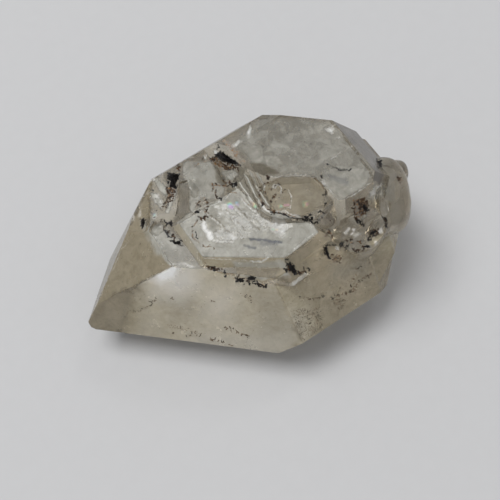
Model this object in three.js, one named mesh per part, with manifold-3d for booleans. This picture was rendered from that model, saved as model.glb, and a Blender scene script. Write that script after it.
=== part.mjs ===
// A double-terminated quartz crystal with a stepped, broken top and grains of black carbon lodged in it.
// Millimetres, +Z up. The crystal lies on one of its long faces. +X runs along its long axis to the lobed
// end, and the origin is on the ground under the middle of its box.
import * as THREE from 'three';
import { ConvexGeometry } from 'three/addons/geometries/ConvexGeometry.js';
import { mergeVertices } from 'three/addons/utils/BufferGeometryUtils.js';
import Module from 'manifold-3d';

const wasm = await Module();
wasm.setup();

// Angles of quartz, in degrees: between two long faces, and from an end face's slope to the long axis.
const LONG_FACE_TURN = 60;
const END_FACE_LEAN = 38.2;

// Height of the crystal's middle over the ground, and how far each of its faces lies from that middle.
const MIDDLE_HEIGHT = 8;
const LONG_FACES = { front: 10.7, frontUnder: 12.7, ground: 8, backUnder: 13.7, back: 10.7 };
const TIP_END_FACES = { top: 10.9, front: 9.3, frontUnder: 12.4, under: 15.1, backUnder: 15, back: 12.6 };
const LOBE_END_FACES = { top: 11.2, front: 14, frontUnder: 16.4, under: 12, backUnder: 14.8, back: 13.2 };

// The higher part of the top is a second crystal, grown along with the first: its own face distances.
const HIGH_LONG_FACES = { front: 10.45, back: 10.7 };
const HIGH_END_FACES = { front: 15.7, frontUnder: 14.9, backUnder: 14.8, back: 13.2 };

// Which of the six directions round the long axis each face has, counted from the top by the front.
const TURNS = { top: 0, front: 1, frontUnder: 2, under: 3, ground: 3, backUnder: 4, back: 5 };

// Heights over the ground of the flat levels of the top.
const LOW_LEVEL = 14.5;
const MIDDLE_LEVEL = 16;
const LOBE_LEVEL = 16.8;
const HIGH_LEVEL = 17.6;

// Every raised level is rooted well inside the body.
const ROOT_HEIGHT = 9;
const HIGH_ROOT_HEIGHT = 6;

// The sides of the raised levels. Each looks along its bearing, leans back by its slope, both in degrees,
// and has its upper edge reach millimetres in front of the middle.
const BROKEN_CORNER = { bearing: 124, slope: 69, reach: 12.6, top: 9 };
const MIDDLE_SIDES = {
  tip: { bearing: 180, slope: 70, reach: 6.5 },
  frontTip: { bearing: 234.5, slope: 70, reach: 6.15 },
  front: { bearing: 275.7, slope: 60, reach: 7.8 },
  lobes: { bearing: 5, slope: 60, reach: 4.3 },
  back: { bearing: 90, slope: 62, reach: 1.65 },
};
const HIGH_SIDES = {
  lobes: { bearing: 0, slope: 57, reach: 13.1 },
  undercut: { bearing: 0, slope: 118, reach: 16.4, top: 12.3 },
};
const HIGH_BACK_SIDES = {
  back: { bearing: 90, slope: 31, reach: 5.65 },
  tip: { bearing: 180, slope: 62, reach: -2.35 },
  tipFront: { bearing: 211, slope: 62, reach: -3.25 },
  frontTip: { bearing: 239, slope: 62, reach: -1.85 },
};
const HIGH_FRONT_SIDES = {
  back: { bearing: 90, slope: 62, reach: 0 },
  tip: { bearing: 196, slope: 66, reach: -6.5 },
};

// Narrow ridges that climb like a stair from the low level: the first one's sides, and each one's rise
// over the one before, and how far its tip side and its back side draw in.
const STAIR = { count: 5, firstRise: 0.6, rise: 0.46, tipRun: 0.42, backRun: 0.35 };
const STAIR_SIDES = {
  tip: { bearing: 180, slope: 58, reach: -0.35 },
  lobes: { bearing: 0, slope: 70, reach: 2.3 },
  back: { bearing: 90, slope: 55, reach: 4.2 },
  front: { bearing: 270, slope: 60, reach: 3.4 },
};

// Rounded lobes. size is half the length and half the width, turn is the length's bearing, and each ring
// is a height over the ground and a share of that size.
const LENS_LOBE = {
  centre: [5, -2.9],
  size: [3.7, 2.45],
  turn: -31,
  rings: [[9, 1.5], [16.3, 1.1], [16.68, 1.02], [LOBE_LEVEL, 0.93]],
};
const END_LOBES = [
  {
    centre: [14.3, -6.1],
    size: [4.4, 2.9],
    turn: -118,
    rings: [[7.2, 0.5], [10.2, 0.95], [12, 1], [13.3, 0.86], [14.1, 0.55]],
  },
  {
    centre: [17.2, -3.7],
    size: [2.1, 1.35],
    turn: -22,
    rings: [[8.2, 0.4], [9.8, 0.95], [11, 1], [12, 0.8], [12.5, 0.45]],
  },
  {
    centre: [10.6, -8.7],
    size: [3.4, 1.7],
    turn: 20,
    rings: [[8, 0.7], [12, 1.05], [13.3, 0.95], [14, 0.6]],
  },
];

// A lobe's outline is between an ellipse, at 2, and a rectangle, at a large number.
const LOBE_SQUARENESS = 2.6;
const LOBE_POINTS = 14;

// The broken places, as shell-shaped bites: over the pointed end's back, along the upper front, round the
// lobes and at the tip.
const BITES = [
  { centre: [-9.6, 6.2, 16.7], radii: [2.6, 4.2, 3.4], turn: -32, tilt: -6 },
  { centre: [-6.6, 6.6, 16.9], radii: [2.1, 3.4, 3.2], turn: -20, tilt: 5 },
  { centre: [-6.3, 10.2, 16.8], radii: [4.2, 2.2, 4.4], turn: 30, tilt: -14 },
  { centre: [-8.3, 3.3, 16], radii: [1.7, 1.2, 2], turn: 20, tilt: 0 },
  { centre: [-3.1, 5.2, 16.6], radii: [1.2, 2.2, 2.4], turn: 8, tilt: 0 },
  { centre: [-0.4, 9.6, 16.8], radii: [2.4, 1.5, 2.9], turn: -16, tilt: -18 },
  { centre: [7.6, -9.2, 16.2], radii: [2.4, 1.7, 2.8], turn: 6, tilt: 26 },
  { centre: [5.2, -9.6, 14.8], radii: [1.8, 1.2, 1.5], turn: -14, tilt: 28 },
  { centre: [10.6, -10.4, 15], radii: [2.3, 1.4, 2.2], turn: 26, tilt: 20 },
  { centre: [12.6, -8.6, 15.9], radii: [1.3, 2, 2.2], turn: -30, tilt: 8 },
  { centre: [-17.8, -0.9, 4.1], radii: [0.8, 1.2, 0.9], turn: -42, tilt: 0 },
];
const BITE_DETAIL = 2;

// The cracks under the lens lobe and along the foot of the middle level.
const CRACKS = [
  {
    points: [[1.9, -3.1, 16.1], [3.4, -4.9, 16], [5.4, -6.1, 16], [7.6, -5.4, 16.4]],
    width: 0.3,
    depth: 0.8,
  },
  {
    points: [[-6.3, -3.9, 14.6], [-4.4, -6.3, 13.8], [-1.8, -8.4, 13.4], [0.2, -9, 13.9]],
    width: 0.34,
    depth: 0.5,
  },
  {
    points: [[1.8, -9.3, 13.4], [4.8, -9.3, 13.3], [8.6, -9.9, 12.9]],
    width: 0.34,
    depth: 0.5,
  },
];

// The black grains: where each one is lodged, its half sizes and how it is turned.
const GRAINS = [
  { centre: [-4, 7.4, 13.9], radii: [0.75, 0.9, 0.6], turn: 10 },
  { centre: [1.2, 5, 15.3], radii: [0.55, 1.7, 0.6], turn: 22 },
  { centre: [0.7, -8.5, 14.1], radii: [0.5, 0.8, 0.55], turn: 24 },
  { centre: [-3.2, -6.7, 13.3], radii: [0.65, 0.42, 0.4], turn: -30 },
  { centre: [4.95, -8.7, 13.7], radii: [0.45, 0.85, 0.55], turn: 8 },
  { centre: [-9.4, 4.9, 13.9], radii: [0.35, 0.6, 0.4], turn: 12 },
  { centre: [-7.8, 1.5, 14.3], radii: [0.3, 0.95, 0.4], turn: -8 },
  { centre: [10, -7.6, 15.3], radii: [0.5, 0.8, 0.55], turn: -10 },
  { centre: [-4.4, -6.2, 13.8], radii: [0.4, 0.3, 0.3], turn: -50 },
  { centre: [10.3, -9.6, 13.1], radii: [0.7, 0.4, 0.4], turn: 38 },
];

// The hollow round each grain is wider than the grain by the gap on every side. A grain's own points
// lie between the smallest share and the whole of its half sizes.
const GRAIN_GAP = 0.32;
const GRAIN_POINTS = 26;
const GRAIN_SMALLEST = 0.8;
const GOLDEN_ANGLE = Math.PI * (3 - Math.sqrt(5));

// A repeatable random sequence.
const RANDOM = { multiplier: 1664525, increment: 1013904223, modulus: 4294967296 };

// Points closer than this are one point. Planes closer to parallel than this have no common corner.
const SAME_POINT = 1e-4;
const MERGE_DISTANCE = 1e-5;
const PARALLEL = 1e-6;
const ON_FACE = 1e-6;

const QUARTZ = { color: 0xb9b4a2, roughness: 0.16, metalness: 0 };
const CARBON = { color: 0x17161a, roughness: 0.38, metalness: 0 };

const radians = (degrees) => THREE.MathUtils.degToRad(degrees);

function randomSource(seed) {
  let state = seed;
  return () => {
    state = (state * RANDOM.multiplier + RANDOM.increment) % RANDOM.modulus;
    return state / RANDOM.modulus;
  };
}

// A closed three.js geometry as a solid that can be joined and cut.
function toSolid(geometry) {
  geometry.deleteAttribute('normal');
  geometry.deleteAttribute('uv');
  const merged = mergeVertices(geometry, MERGE_DISTANCE);
  return new wasm.Manifold(new wasm.Mesh({
    numProp: 3,
    vertProperties: Float32Array.from(merged.attributes.position.array),
    triVerts: Uint32Array.from(merged.index.array),
  }));
}

function toGeometry(solid) {
  const mesh = solid.getMesh();
  const geometry = new THREE.BufferGeometry();
  geometry.setAttribute('position', new THREE.BufferAttribute(mesh.vertProperties, 3));
  geometry.setIndex(new THREE.BufferAttribute(mesh.triVerts, 1));
  geometry.computeVertexNormals();
  return geometry;
}

function joined(solids) {
  return solids.reduce((whole, solid) => whole.add(solid));
}

// A face as a plane: the way it looks, and its distance from the origin.
function facePlane(normal, point) {
  return { normal, distance: normal.dot(point) };
}

function cornerOf(a, b, c) {
  const across = new THREE.Vector3().crossVectors(b.normal, c.normal);
  const size = a.normal.dot(across);
  if (Math.abs(size) < PARALLEL) {
    return null;
  }
  const corner = across.multiplyScalar(a.distance);
  corner.addScaledVector(new THREE.Vector3().crossVectors(c.normal, a.normal), b.distance);
  corner.addScaledVector(new THREE.Vector3().crossVectors(a.normal, b.normal), c.distance);
  return corner.divideScalar(size);
}

// The convex solid behind all of the faces.
function solidBehind(faces) {
  const corners = [];
  const keep = (corner) => {
    const isInside = faces.every((face) => face.normal.dot(corner) <= face.distance + ON_FACE);
    const isNew = corners.every((other) => other.distanceTo(corner) > SAME_POINT);
    if (isInside && isNew) {
      corners.push(corner);
    }
  };
  for (let i = 0; i < faces.length; i += 1) {
    for (let j = i + 1; j < faces.length; j += 1) {
      for (let k = j + 1; k < faces.length; k += 1) {
        const corner = cornerOf(faces[i], faces[j], faces[k]);
        if (corner) {
          keep(corner);
        }
      }
    }
  }
  return toSolid(new ConvexGeometry(corners));
}

function longFaceNormal(turn) {
  const angle = radians(LONG_FACE_TURN * turn);
  return new THREE.Vector3(0, -Math.sin(angle), Math.cos(angle));
}

// end is -1 for the pointed end and 1 for the lobed end.
function endFaceNormal(end, turn) {
  const lean = radians(END_FACE_LEAN);
  const outward = new THREE.Vector3(end * Math.sin(lean), 0, 0);
  return longFaceNormal(turn).multiplyScalar(Math.cos(lean)).add(outward);
}

function facesAt(distances, normalOf) {
  const middle = new THREE.Vector3(0, 0, MIDDLE_HEIGHT);
  return Object.entries(distances).map(([name, distance]) => {
    const normal = normalOf(TURNS[name]);
    return facePlane(normal, middle.clone().addScaledVector(normal, distance));
  });
}

const longFaces = (distances) => facesAt(distances, longFaceNormal);
const tipEndFaces = (distances) => facesAt(distances, (turn) => endFaceNormal(-1, turn));
const lobeEndFaces = (distances) => facesAt(distances, (turn) => endFaceNormal(1, turn));

function levelFace(height) {
  return facePlane(new THREE.Vector3(0, 0, 1), new THREE.Vector3(0, 0, height));
}

function rootFace(height) {
  return facePlane(new THREE.Vector3(0, 0, -1), new THREE.Vector3(0, 0, height));
}

function sideFace({ bearing, slope, reach, top }) {
  const angle = radians(bearing);
  const lean = radians(slope);
  const normal = new THREE.Vector3(
    Math.cos(angle) * Math.sin(lean),
    Math.sin(angle) * Math.sin(lean),
    Math.cos(lean),
  );
  return facePlane(normal, new THREE.Vector3(Math.cos(angle) * reach, Math.sin(angle) * reach, top));
}

function sideFaces(sides, top) {
  return Object.values(sides).map((side) => sideFace({ top, ...side }));
}

// A raised level of the top: flat above, with leaning sides, standing on its root.
function raisedLevel(top, sides) {
  return solidBehind([levelFace(top), rootFace(ROOT_HEIGHT), ...sideFaces(sides, top)]);
}

function mainCrystal() {
  return solidBehind([
    levelFace(LOW_LEVEL),
    ...longFaces(LONG_FACES),
    ...tipEndFaces(TIP_END_FACES),
    ...lobeEndFaces(LOBE_END_FACES),
    sideFace(BROKEN_CORNER),
  ]);
}

// The space that the crystal's outer faces leave for what is raised on its top.
function outerFaces() {
  return solidBehind([
    levelFace(HIGH_LEVEL),
    ...longFaces(LONG_FACES),
    ...tipEndFaces(TIP_END_FACES),
    ...lobeEndFaces(HIGH_END_FACES),
  ]);
}

function highCrystal() {
  const around = [
    levelFace(HIGH_LEVEL),
    rootFace(HIGH_ROOT_HEIGHT),
    ...longFaces(HIGH_LONG_FACES),
    ...lobeEndFaces(HIGH_END_FACES),
    ...sideFaces(HIGH_SIDES, HIGH_LEVEL),
  ];
  const backPart = solidBehind([...around, ...sideFaces(HIGH_BACK_SIDES, HIGH_LEVEL)]);
  const frontPart = solidBehind([...around, ...sideFaces(HIGH_FRONT_SIDES, HIGH_LEVEL)]);
  return backPart.add(frontPart);
}

function stairOfRidges() {
  const ridges = [];
  for (let i = 0; i < STAIR.count; i += 1) {
    const { tip, back } = STAIR_SIDES;
    ridges.push(raisedLevel(LOW_LEVEL + STAIR.firstRise + i * STAIR.rise, {
      ...STAIR_SIDES,
      tip: { ...tip, reach: tip.reach - i * STAIR.tipRun },
      back: { ...back, reach: back.reach - i * STAIR.backRun },
    }));
  }
  return joined(ridges);
}

// A rounded lobe, flat or domed above: rings of points round its centre.
function lobe({ centre, size, turn, rings }) {
  const corners = [];
  const upright = new THREE.Vector3(0, 0, 1);
  for (const [height, share] of rings) {
    for (let i = 0; i < LOBE_POINTS; i += 1) {
      const angle = (2 * Math.PI * i) / LOBE_POINTS;
      const c = Math.abs(Math.cos(angle)) ** LOBE_SQUARENESS;
      const s = Math.abs(Math.sin(angle)) ** LOBE_SQUARENESS;
      const swell = share * (c + s) ** (-1 / LOBE_SQUARENESS);
      const along = Math.cos(angle) * swell * size[0];
      const across = Math.sin(angle) * swell * size[1];
      const corner = new THREE.Vector3(along, across, height).applyAxisAngle(upright, radians(turn));
      corners.push(corner.add(new THREE.Vector3(centre[0], centre[1], 0)));
    }
  }
  return toSolid(new ConvexGeometry(corners));
}

function bite({ centre, radii, turn, tilt }) {
  const geometry = new THREE.IcosahedronGeometry(1, BITE_DETAIL);
  geometry.scale(...radii);
  geometry.rotateX(radians(tilt));
  geometry.rotateZ(radians(turn));
  geometry.translate(...centre);
  return toSolid(geometry);
}

// One straight stretch of a crack: a V-shaped wedge that reaches past both of its ends by half its width.
function crackStretch(start, end, width, depth) {
  const along = end.clone().sub(start).setLength(width / 2);
  const side = new THREE.Vector3(-along.y, along.x, 0).setLength(width / 2);
  const over = new THREE.Vector3(0, 0, width * 2);
  const corners = [];
  for (const place of [start.clone().sub(along), end.clone().add(along)]) {
    corners.push(place.clone().add(side).add(over));
    corners.push(place.clone().sub(side).add(over));
    corners.push(place.clone().add(new THREE.Vector3(0, 0, -depth)));
  }
  return toSolid(new ConvexGeometry(corners));
}

function crack({ points, width, depth }) {
  const places = points.map((point) => new THREE.Vector3(...point));
  return joined(places.slice(1).map((end, i) => crackStretch(places[i], end, width, depth)));
}

// Points spread evenly over an egg on a golden spiral, each at its own share of the egg's half sizes, and
// grown outward by grow.
function eggGeometry({ centre, radii, turn }, shareOf, grow) {
  const corners = [];
  for (let i = 0; i < GRAIN_POINTS; i += 1) {
    const height = 1 - (2 * i + 1) / GRAIN_POINTS;
    const ring = Math.sqrt(1 - height * height);
    const angle = i * GOLDEN_ANGLE;
    const share = shareOf();
    corners.push(new THREE.Vector3(
      Math.cos(angle) * ring * (radii[0] * share + grow),
      Math.sin(angle) * ring * (radii[1] * share + grow),
      height * (radii[2] * share + grow),
    ));
  }
  const geometry = new ConvexGeometry(corners);
  geometry.rotateZ(radians(turn));
  geometry.translate(...centre);
  return geometry;
}

function carbonGrain(grain, seed) {
  const random = randomSource(seed);
  return toSolid(eggGeometry(grain, () => GRAIN_SMALLEST + (1 - GRAIN_SMALLEST) * random(), 0));
}

function grainHollow(grain) {
  return toSolid(eggGeometry(grain, () => 1, GRAIN_GAP));
}

function quartzCrystal() {
  const raised = joined([
    raisedLevel(MIDDLE_LEVEL, MIDDLE_SIDES),
    stairOfRidges(),
    lobe(LENS_LOBE),
  ]).intersect(outerFaces());
  const whole = joined([mainCrystal(), raised, highCrystal(), ...END_LOBES.map(lobe)]);
  const broken = whole.subtract(joined(BITES.map(bite)));
  return broken.subtract(joined(CRACKS.map(crack))).subtract(joined(GRAINS.map(grainHollow)));
}

function namedMesh(name, solid, finish) {
  const mesh = new THREE.Mesh(toGeometry(solid), new THREE.MeshStandardMaterial(finish));
  mesh.name = name;
  return mesh;
}

const group = new THREE.Group();
group.add(namedMesh('quartz_crystal', quartzCrystal(), QUARTZ));
GRAINS.forEach((grain, i) => {
  group.add(namedMesh(`carbon_grain_${i + 1}`, carbonGrain(grain, i + 1), CARBON));
});

// The origin goes on the ground under the middle of the crystal's box.
const box = new THREE.Box3().setFromObject(group);
const middle = box.getCenter(new THREE.Vector3());
group.position.set(-middle.x, -middle.y, -box.min.z);

export default group;
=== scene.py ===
"""Looks of a clear, double-terminated quartz crystal with a broken, stepped top and black carbon in it.

Shapes are worked out in millimetres in the stone's own frame, and end in metres in the part's frame.
"""

import math
import random
from itertools import combinations

import bmesh
import bpy
import numpy as np
from mathutils import Matrix, Vector, noise
from mathutils.bvhtree import BVHTree


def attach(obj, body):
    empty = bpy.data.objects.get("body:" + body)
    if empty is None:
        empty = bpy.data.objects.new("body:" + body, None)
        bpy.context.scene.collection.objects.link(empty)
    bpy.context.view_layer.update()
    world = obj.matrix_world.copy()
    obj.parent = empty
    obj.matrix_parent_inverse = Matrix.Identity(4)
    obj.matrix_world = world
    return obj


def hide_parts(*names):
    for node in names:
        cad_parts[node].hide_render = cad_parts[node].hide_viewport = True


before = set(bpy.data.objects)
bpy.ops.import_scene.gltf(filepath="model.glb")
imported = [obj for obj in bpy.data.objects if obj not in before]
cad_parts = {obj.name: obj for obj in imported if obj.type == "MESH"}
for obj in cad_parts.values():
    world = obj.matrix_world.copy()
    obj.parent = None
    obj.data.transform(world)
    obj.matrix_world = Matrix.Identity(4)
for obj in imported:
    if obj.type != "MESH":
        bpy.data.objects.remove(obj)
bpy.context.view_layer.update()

MM = 0.001
STONE = "quartz_crystal"

# The stone's own frame lies this far from the part's, in millimetres.
STONE_SHIFT = Vector((0.185, -0.289, 0))

# The stone's form, with the values of its solid model. Only the second end lobe lies half a millimetre
# off and is a little smaller, as its outline in the photograph shows.
LONG_FACE_TURN = 60
END_FACE_LEAN = 38.2
MIDDLE_HEIGHT = 8
LONG_FACES = {"front": 10.7, "frontUnder": 12.7, "ground": 8, "backUnder": 13.7, "back": 10.7}
TIP_END_FACES = {"top": 10.9, "front": 9.3, "frontUnder": 12.4, "under": 15.1, "backUnder": 15, "back": 12.6}
LOBE_END_FACES = {"top": 11.2, "front": 14, "frontUnder": 16.4, "under": 12, "backUnder": 14.8, "back": 13.2}
HIGH_LONG_FACES = {"front": 10.45, "back": 10.7}
HIGH_END_FACES = {"front": 15.7, "frontUnder": 14.9, "backUnder": 14.8, "back": 13.2}
TURNS = {"top": 0, "front": 1, "frontUnder": 2, "under": 3, "ground": 3, "backUnder": 4, "back": 5}
TIP_END, LOBE_END = -1, 1
LOW_LEVEL, MIDDLE_LEVEL, LOBE_LEVEL, HIGH_LEVEL = 14.5, 16, 16.8, 17.6
ROOT_HEIGHT, HIGH_ROOT_HEIGHT = 9, 6

# Sides of the raised levels: bearing and slope in degrees, reach, and a height where it isn't the level's.
# The broken corner is one of the main crystal.
BROKEN_CORNER = (124, 69, 12.6, 9)
MIDDLE_SIDES = [(180, 70, 6.5), (234.5, 70, 6.15), (275.7, 60, 7.8), (5, 60, 4.3), (90, 62, 1.65)]
HIGH_SIDES = [(0, 57, 13.1), (0, 118, 16.4, 12.3)]
HIGH_BACK_SIDES = [(90, 31, 5.65), (180, 62, -2.35), (211, 62, -3.25), (239, 62, -1.85)]
HIGH_FRONT_SIDES = [(90, 62, 0), (196, 66, -6.5)]
# Ridges of the stair: how many, how they rise, and their sides, each with how far it moves in from one
# ridge to the next.
RIDGES, FIRST_RISE, RIDGE_RISE = 5, 0.6, 0.46
RIDGE_SIDES = [((180, 58, -0.35), 0.42), ((0, 70, 2.3), 0), ((90, 55, 4.2), 0.35), ((270, 60, 3.4), 0)]

# Rounded lobes: centre, half sizes, turn in degrees, and rings of height and share of the half sizes.
LENS_LOBE = ((5, -2.9), (3.7, 2.45), -31, [(9, 1.5), (16.3, 1.1), (16.68, 1.02), (LOBE_LEVEL, 0.93)])
END_LOBES = [
    ((14.3, -6.1), (4.4, 2.9), -118, [(7.2, 0.5), (10.2, 0.95), (12, 1), (13.3, 0.86), (14.1, 0.55)]),
    ((16.9, -4.05), (2.0, 1.3), -22, [(8.2, 0.4), (9.8, 0.95), (11, 1), (12, 0.8), (12.5, 0.45)]),
    ((10.6, -8.7), (3.4, 1.7), 20, [(8, 0.7), (12, 1.05), (13.3, 0.95), (14, 0.6)]),
]
LOBE_SQUARENESS = 2.6
LOBE_ROUGHNESS = 0.05
LOBE_WAVE = 0.9
LOBE_POINTS = 72
RING_STEPS = 6

# Broken places: centre, half sizes, turn and tilt in degrees.
BITES = [
    ((-9.6, 6.2, 16.7), (2.6, 4.2, 3.4), -32, -6),
    ((-6.6, 6.6, 16.9), (2.1, 3.4, 3.2), -20, 5),
    ((-6.3, 10.2, 16.8), (4.2, 2.2, 4.4), 30, -14),
    ((-8.3, 3.3, 16), (1.7, 1.2, 2), 20, 0),
    ((-3.1, 5.2, 16.6), (1.2, 2.2, 2.4), 8, 0),
    ((-0.4, 9.6, 16.8), (2.4, 1.5, 2.9), -16, -18),
    ((7.6, -9.2, 16.2), (2.4, 1.7, 2.8), 6, 26),
    ((5.2, -9.6, 14.8), (1.8, 1.2, 1.5), -14, 28),
    ((10.6, -10.4, 15), (2.3, 1.4, 2.2), 26, 20),
    ((12.6, -8.6, 15.9), (1.3, 2, 2.2), -30, 8),
    ((-17.8, -0.9, 4.1), (0.8, 1.2, 0.9), -42, 0),
]

# The open crack under the lens lobe.
LENS_CRACK = [(1.9, -3.1, 16.1), (3.4, -4.9, 16), (5.4, -6.1, 16), (7.6, -5.4, 16.4)]
CRACK_WIDTH, CRACK_DEPTH = 0.3, 0.8

# A low step and a hollow on the low level, finer than the solid model, in the photograph's pixels. Their
# edges lean, and are a little off at every point.
LIGHT_STEP = [(184, 161), (211, 162), (222, 178), (228, 186), (224, 198), (206, 214), (194, 214),
              (189, 209), (189, 181)]
BROWN_TROUGH = [(179, 181), (187, 179), (189, 190), (188, 212), (181, 221), (176, 214)]
STEP_RISE, STEP_ROOT = 0.22, -0.4
TROUGH_FLOOR, TROUGH_TOP = -0.3, 1
STEP_FLARE = 0.12
OUTLINE_STEP = 0.45
OUTLINE_JITTER = 0.06

# Places on the stone as the photograph shows them, in its pixels: faces and smaller outlines.
TIP_TOP_FACE = [(124, 224), (148, 225), (172, 266.5), (149, 279), (112, 296), (92, 314), (96, 296)]
TIP_FRONT_FACE = [(172, 266.5), (149, 279), (112, 296), (84, 318), (92, 334), (125, 336), (286, 354),
                  (302, 341), (276, 285), (262, 284), (236, 276), (205, 269)]
LONG_FRONT_FACE = [(276, 285), (302, 341), (286, 354), (342, 324), (380, 296), (400, 240), (372, 250),
                   (340, 258), (309, 275), (290, 288)]
LENS_OUTLINE = [(262, 186), (280, 177), (312, 177), (326, 191), (323, 206), (300, 217), (272, 211)]
FRONT_RISER = [(199, 254), (262, 258), (284, 255), (290, 276), (262, 282), (232, 275), (206, 268)]
WINDOW_CHIP_1 = [(201, 224), (204, 222), (207, 226), (206, 233), (203, 230)]
WINDOW_CHIP_2 = [(205, 228), (210, 232), (214, 238), (210, 241), (206, 236)]

# Lines that are stained and also carry crumbs.
LOBE_CRACK = [(326, 245), (334, 245), (342, 247), (348, 249)]
TOP_CRACK = [(326, 164), (330, 166), (335, 167), (340, 171), (346, 169), (349, 171)]
RUSTY_LOOP = [(205, 198), (208, 204), (204, 210), (207, 215), (203, 219), (199, 216)]
RUSTY_HOOK = [(199, 200), (197, 206), (202, 207)]

# What a painted area keeps to, besides its outline: a face's outline, or the flat or the steep parts.
FLAT, STEEP = "flat", "steep"

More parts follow.
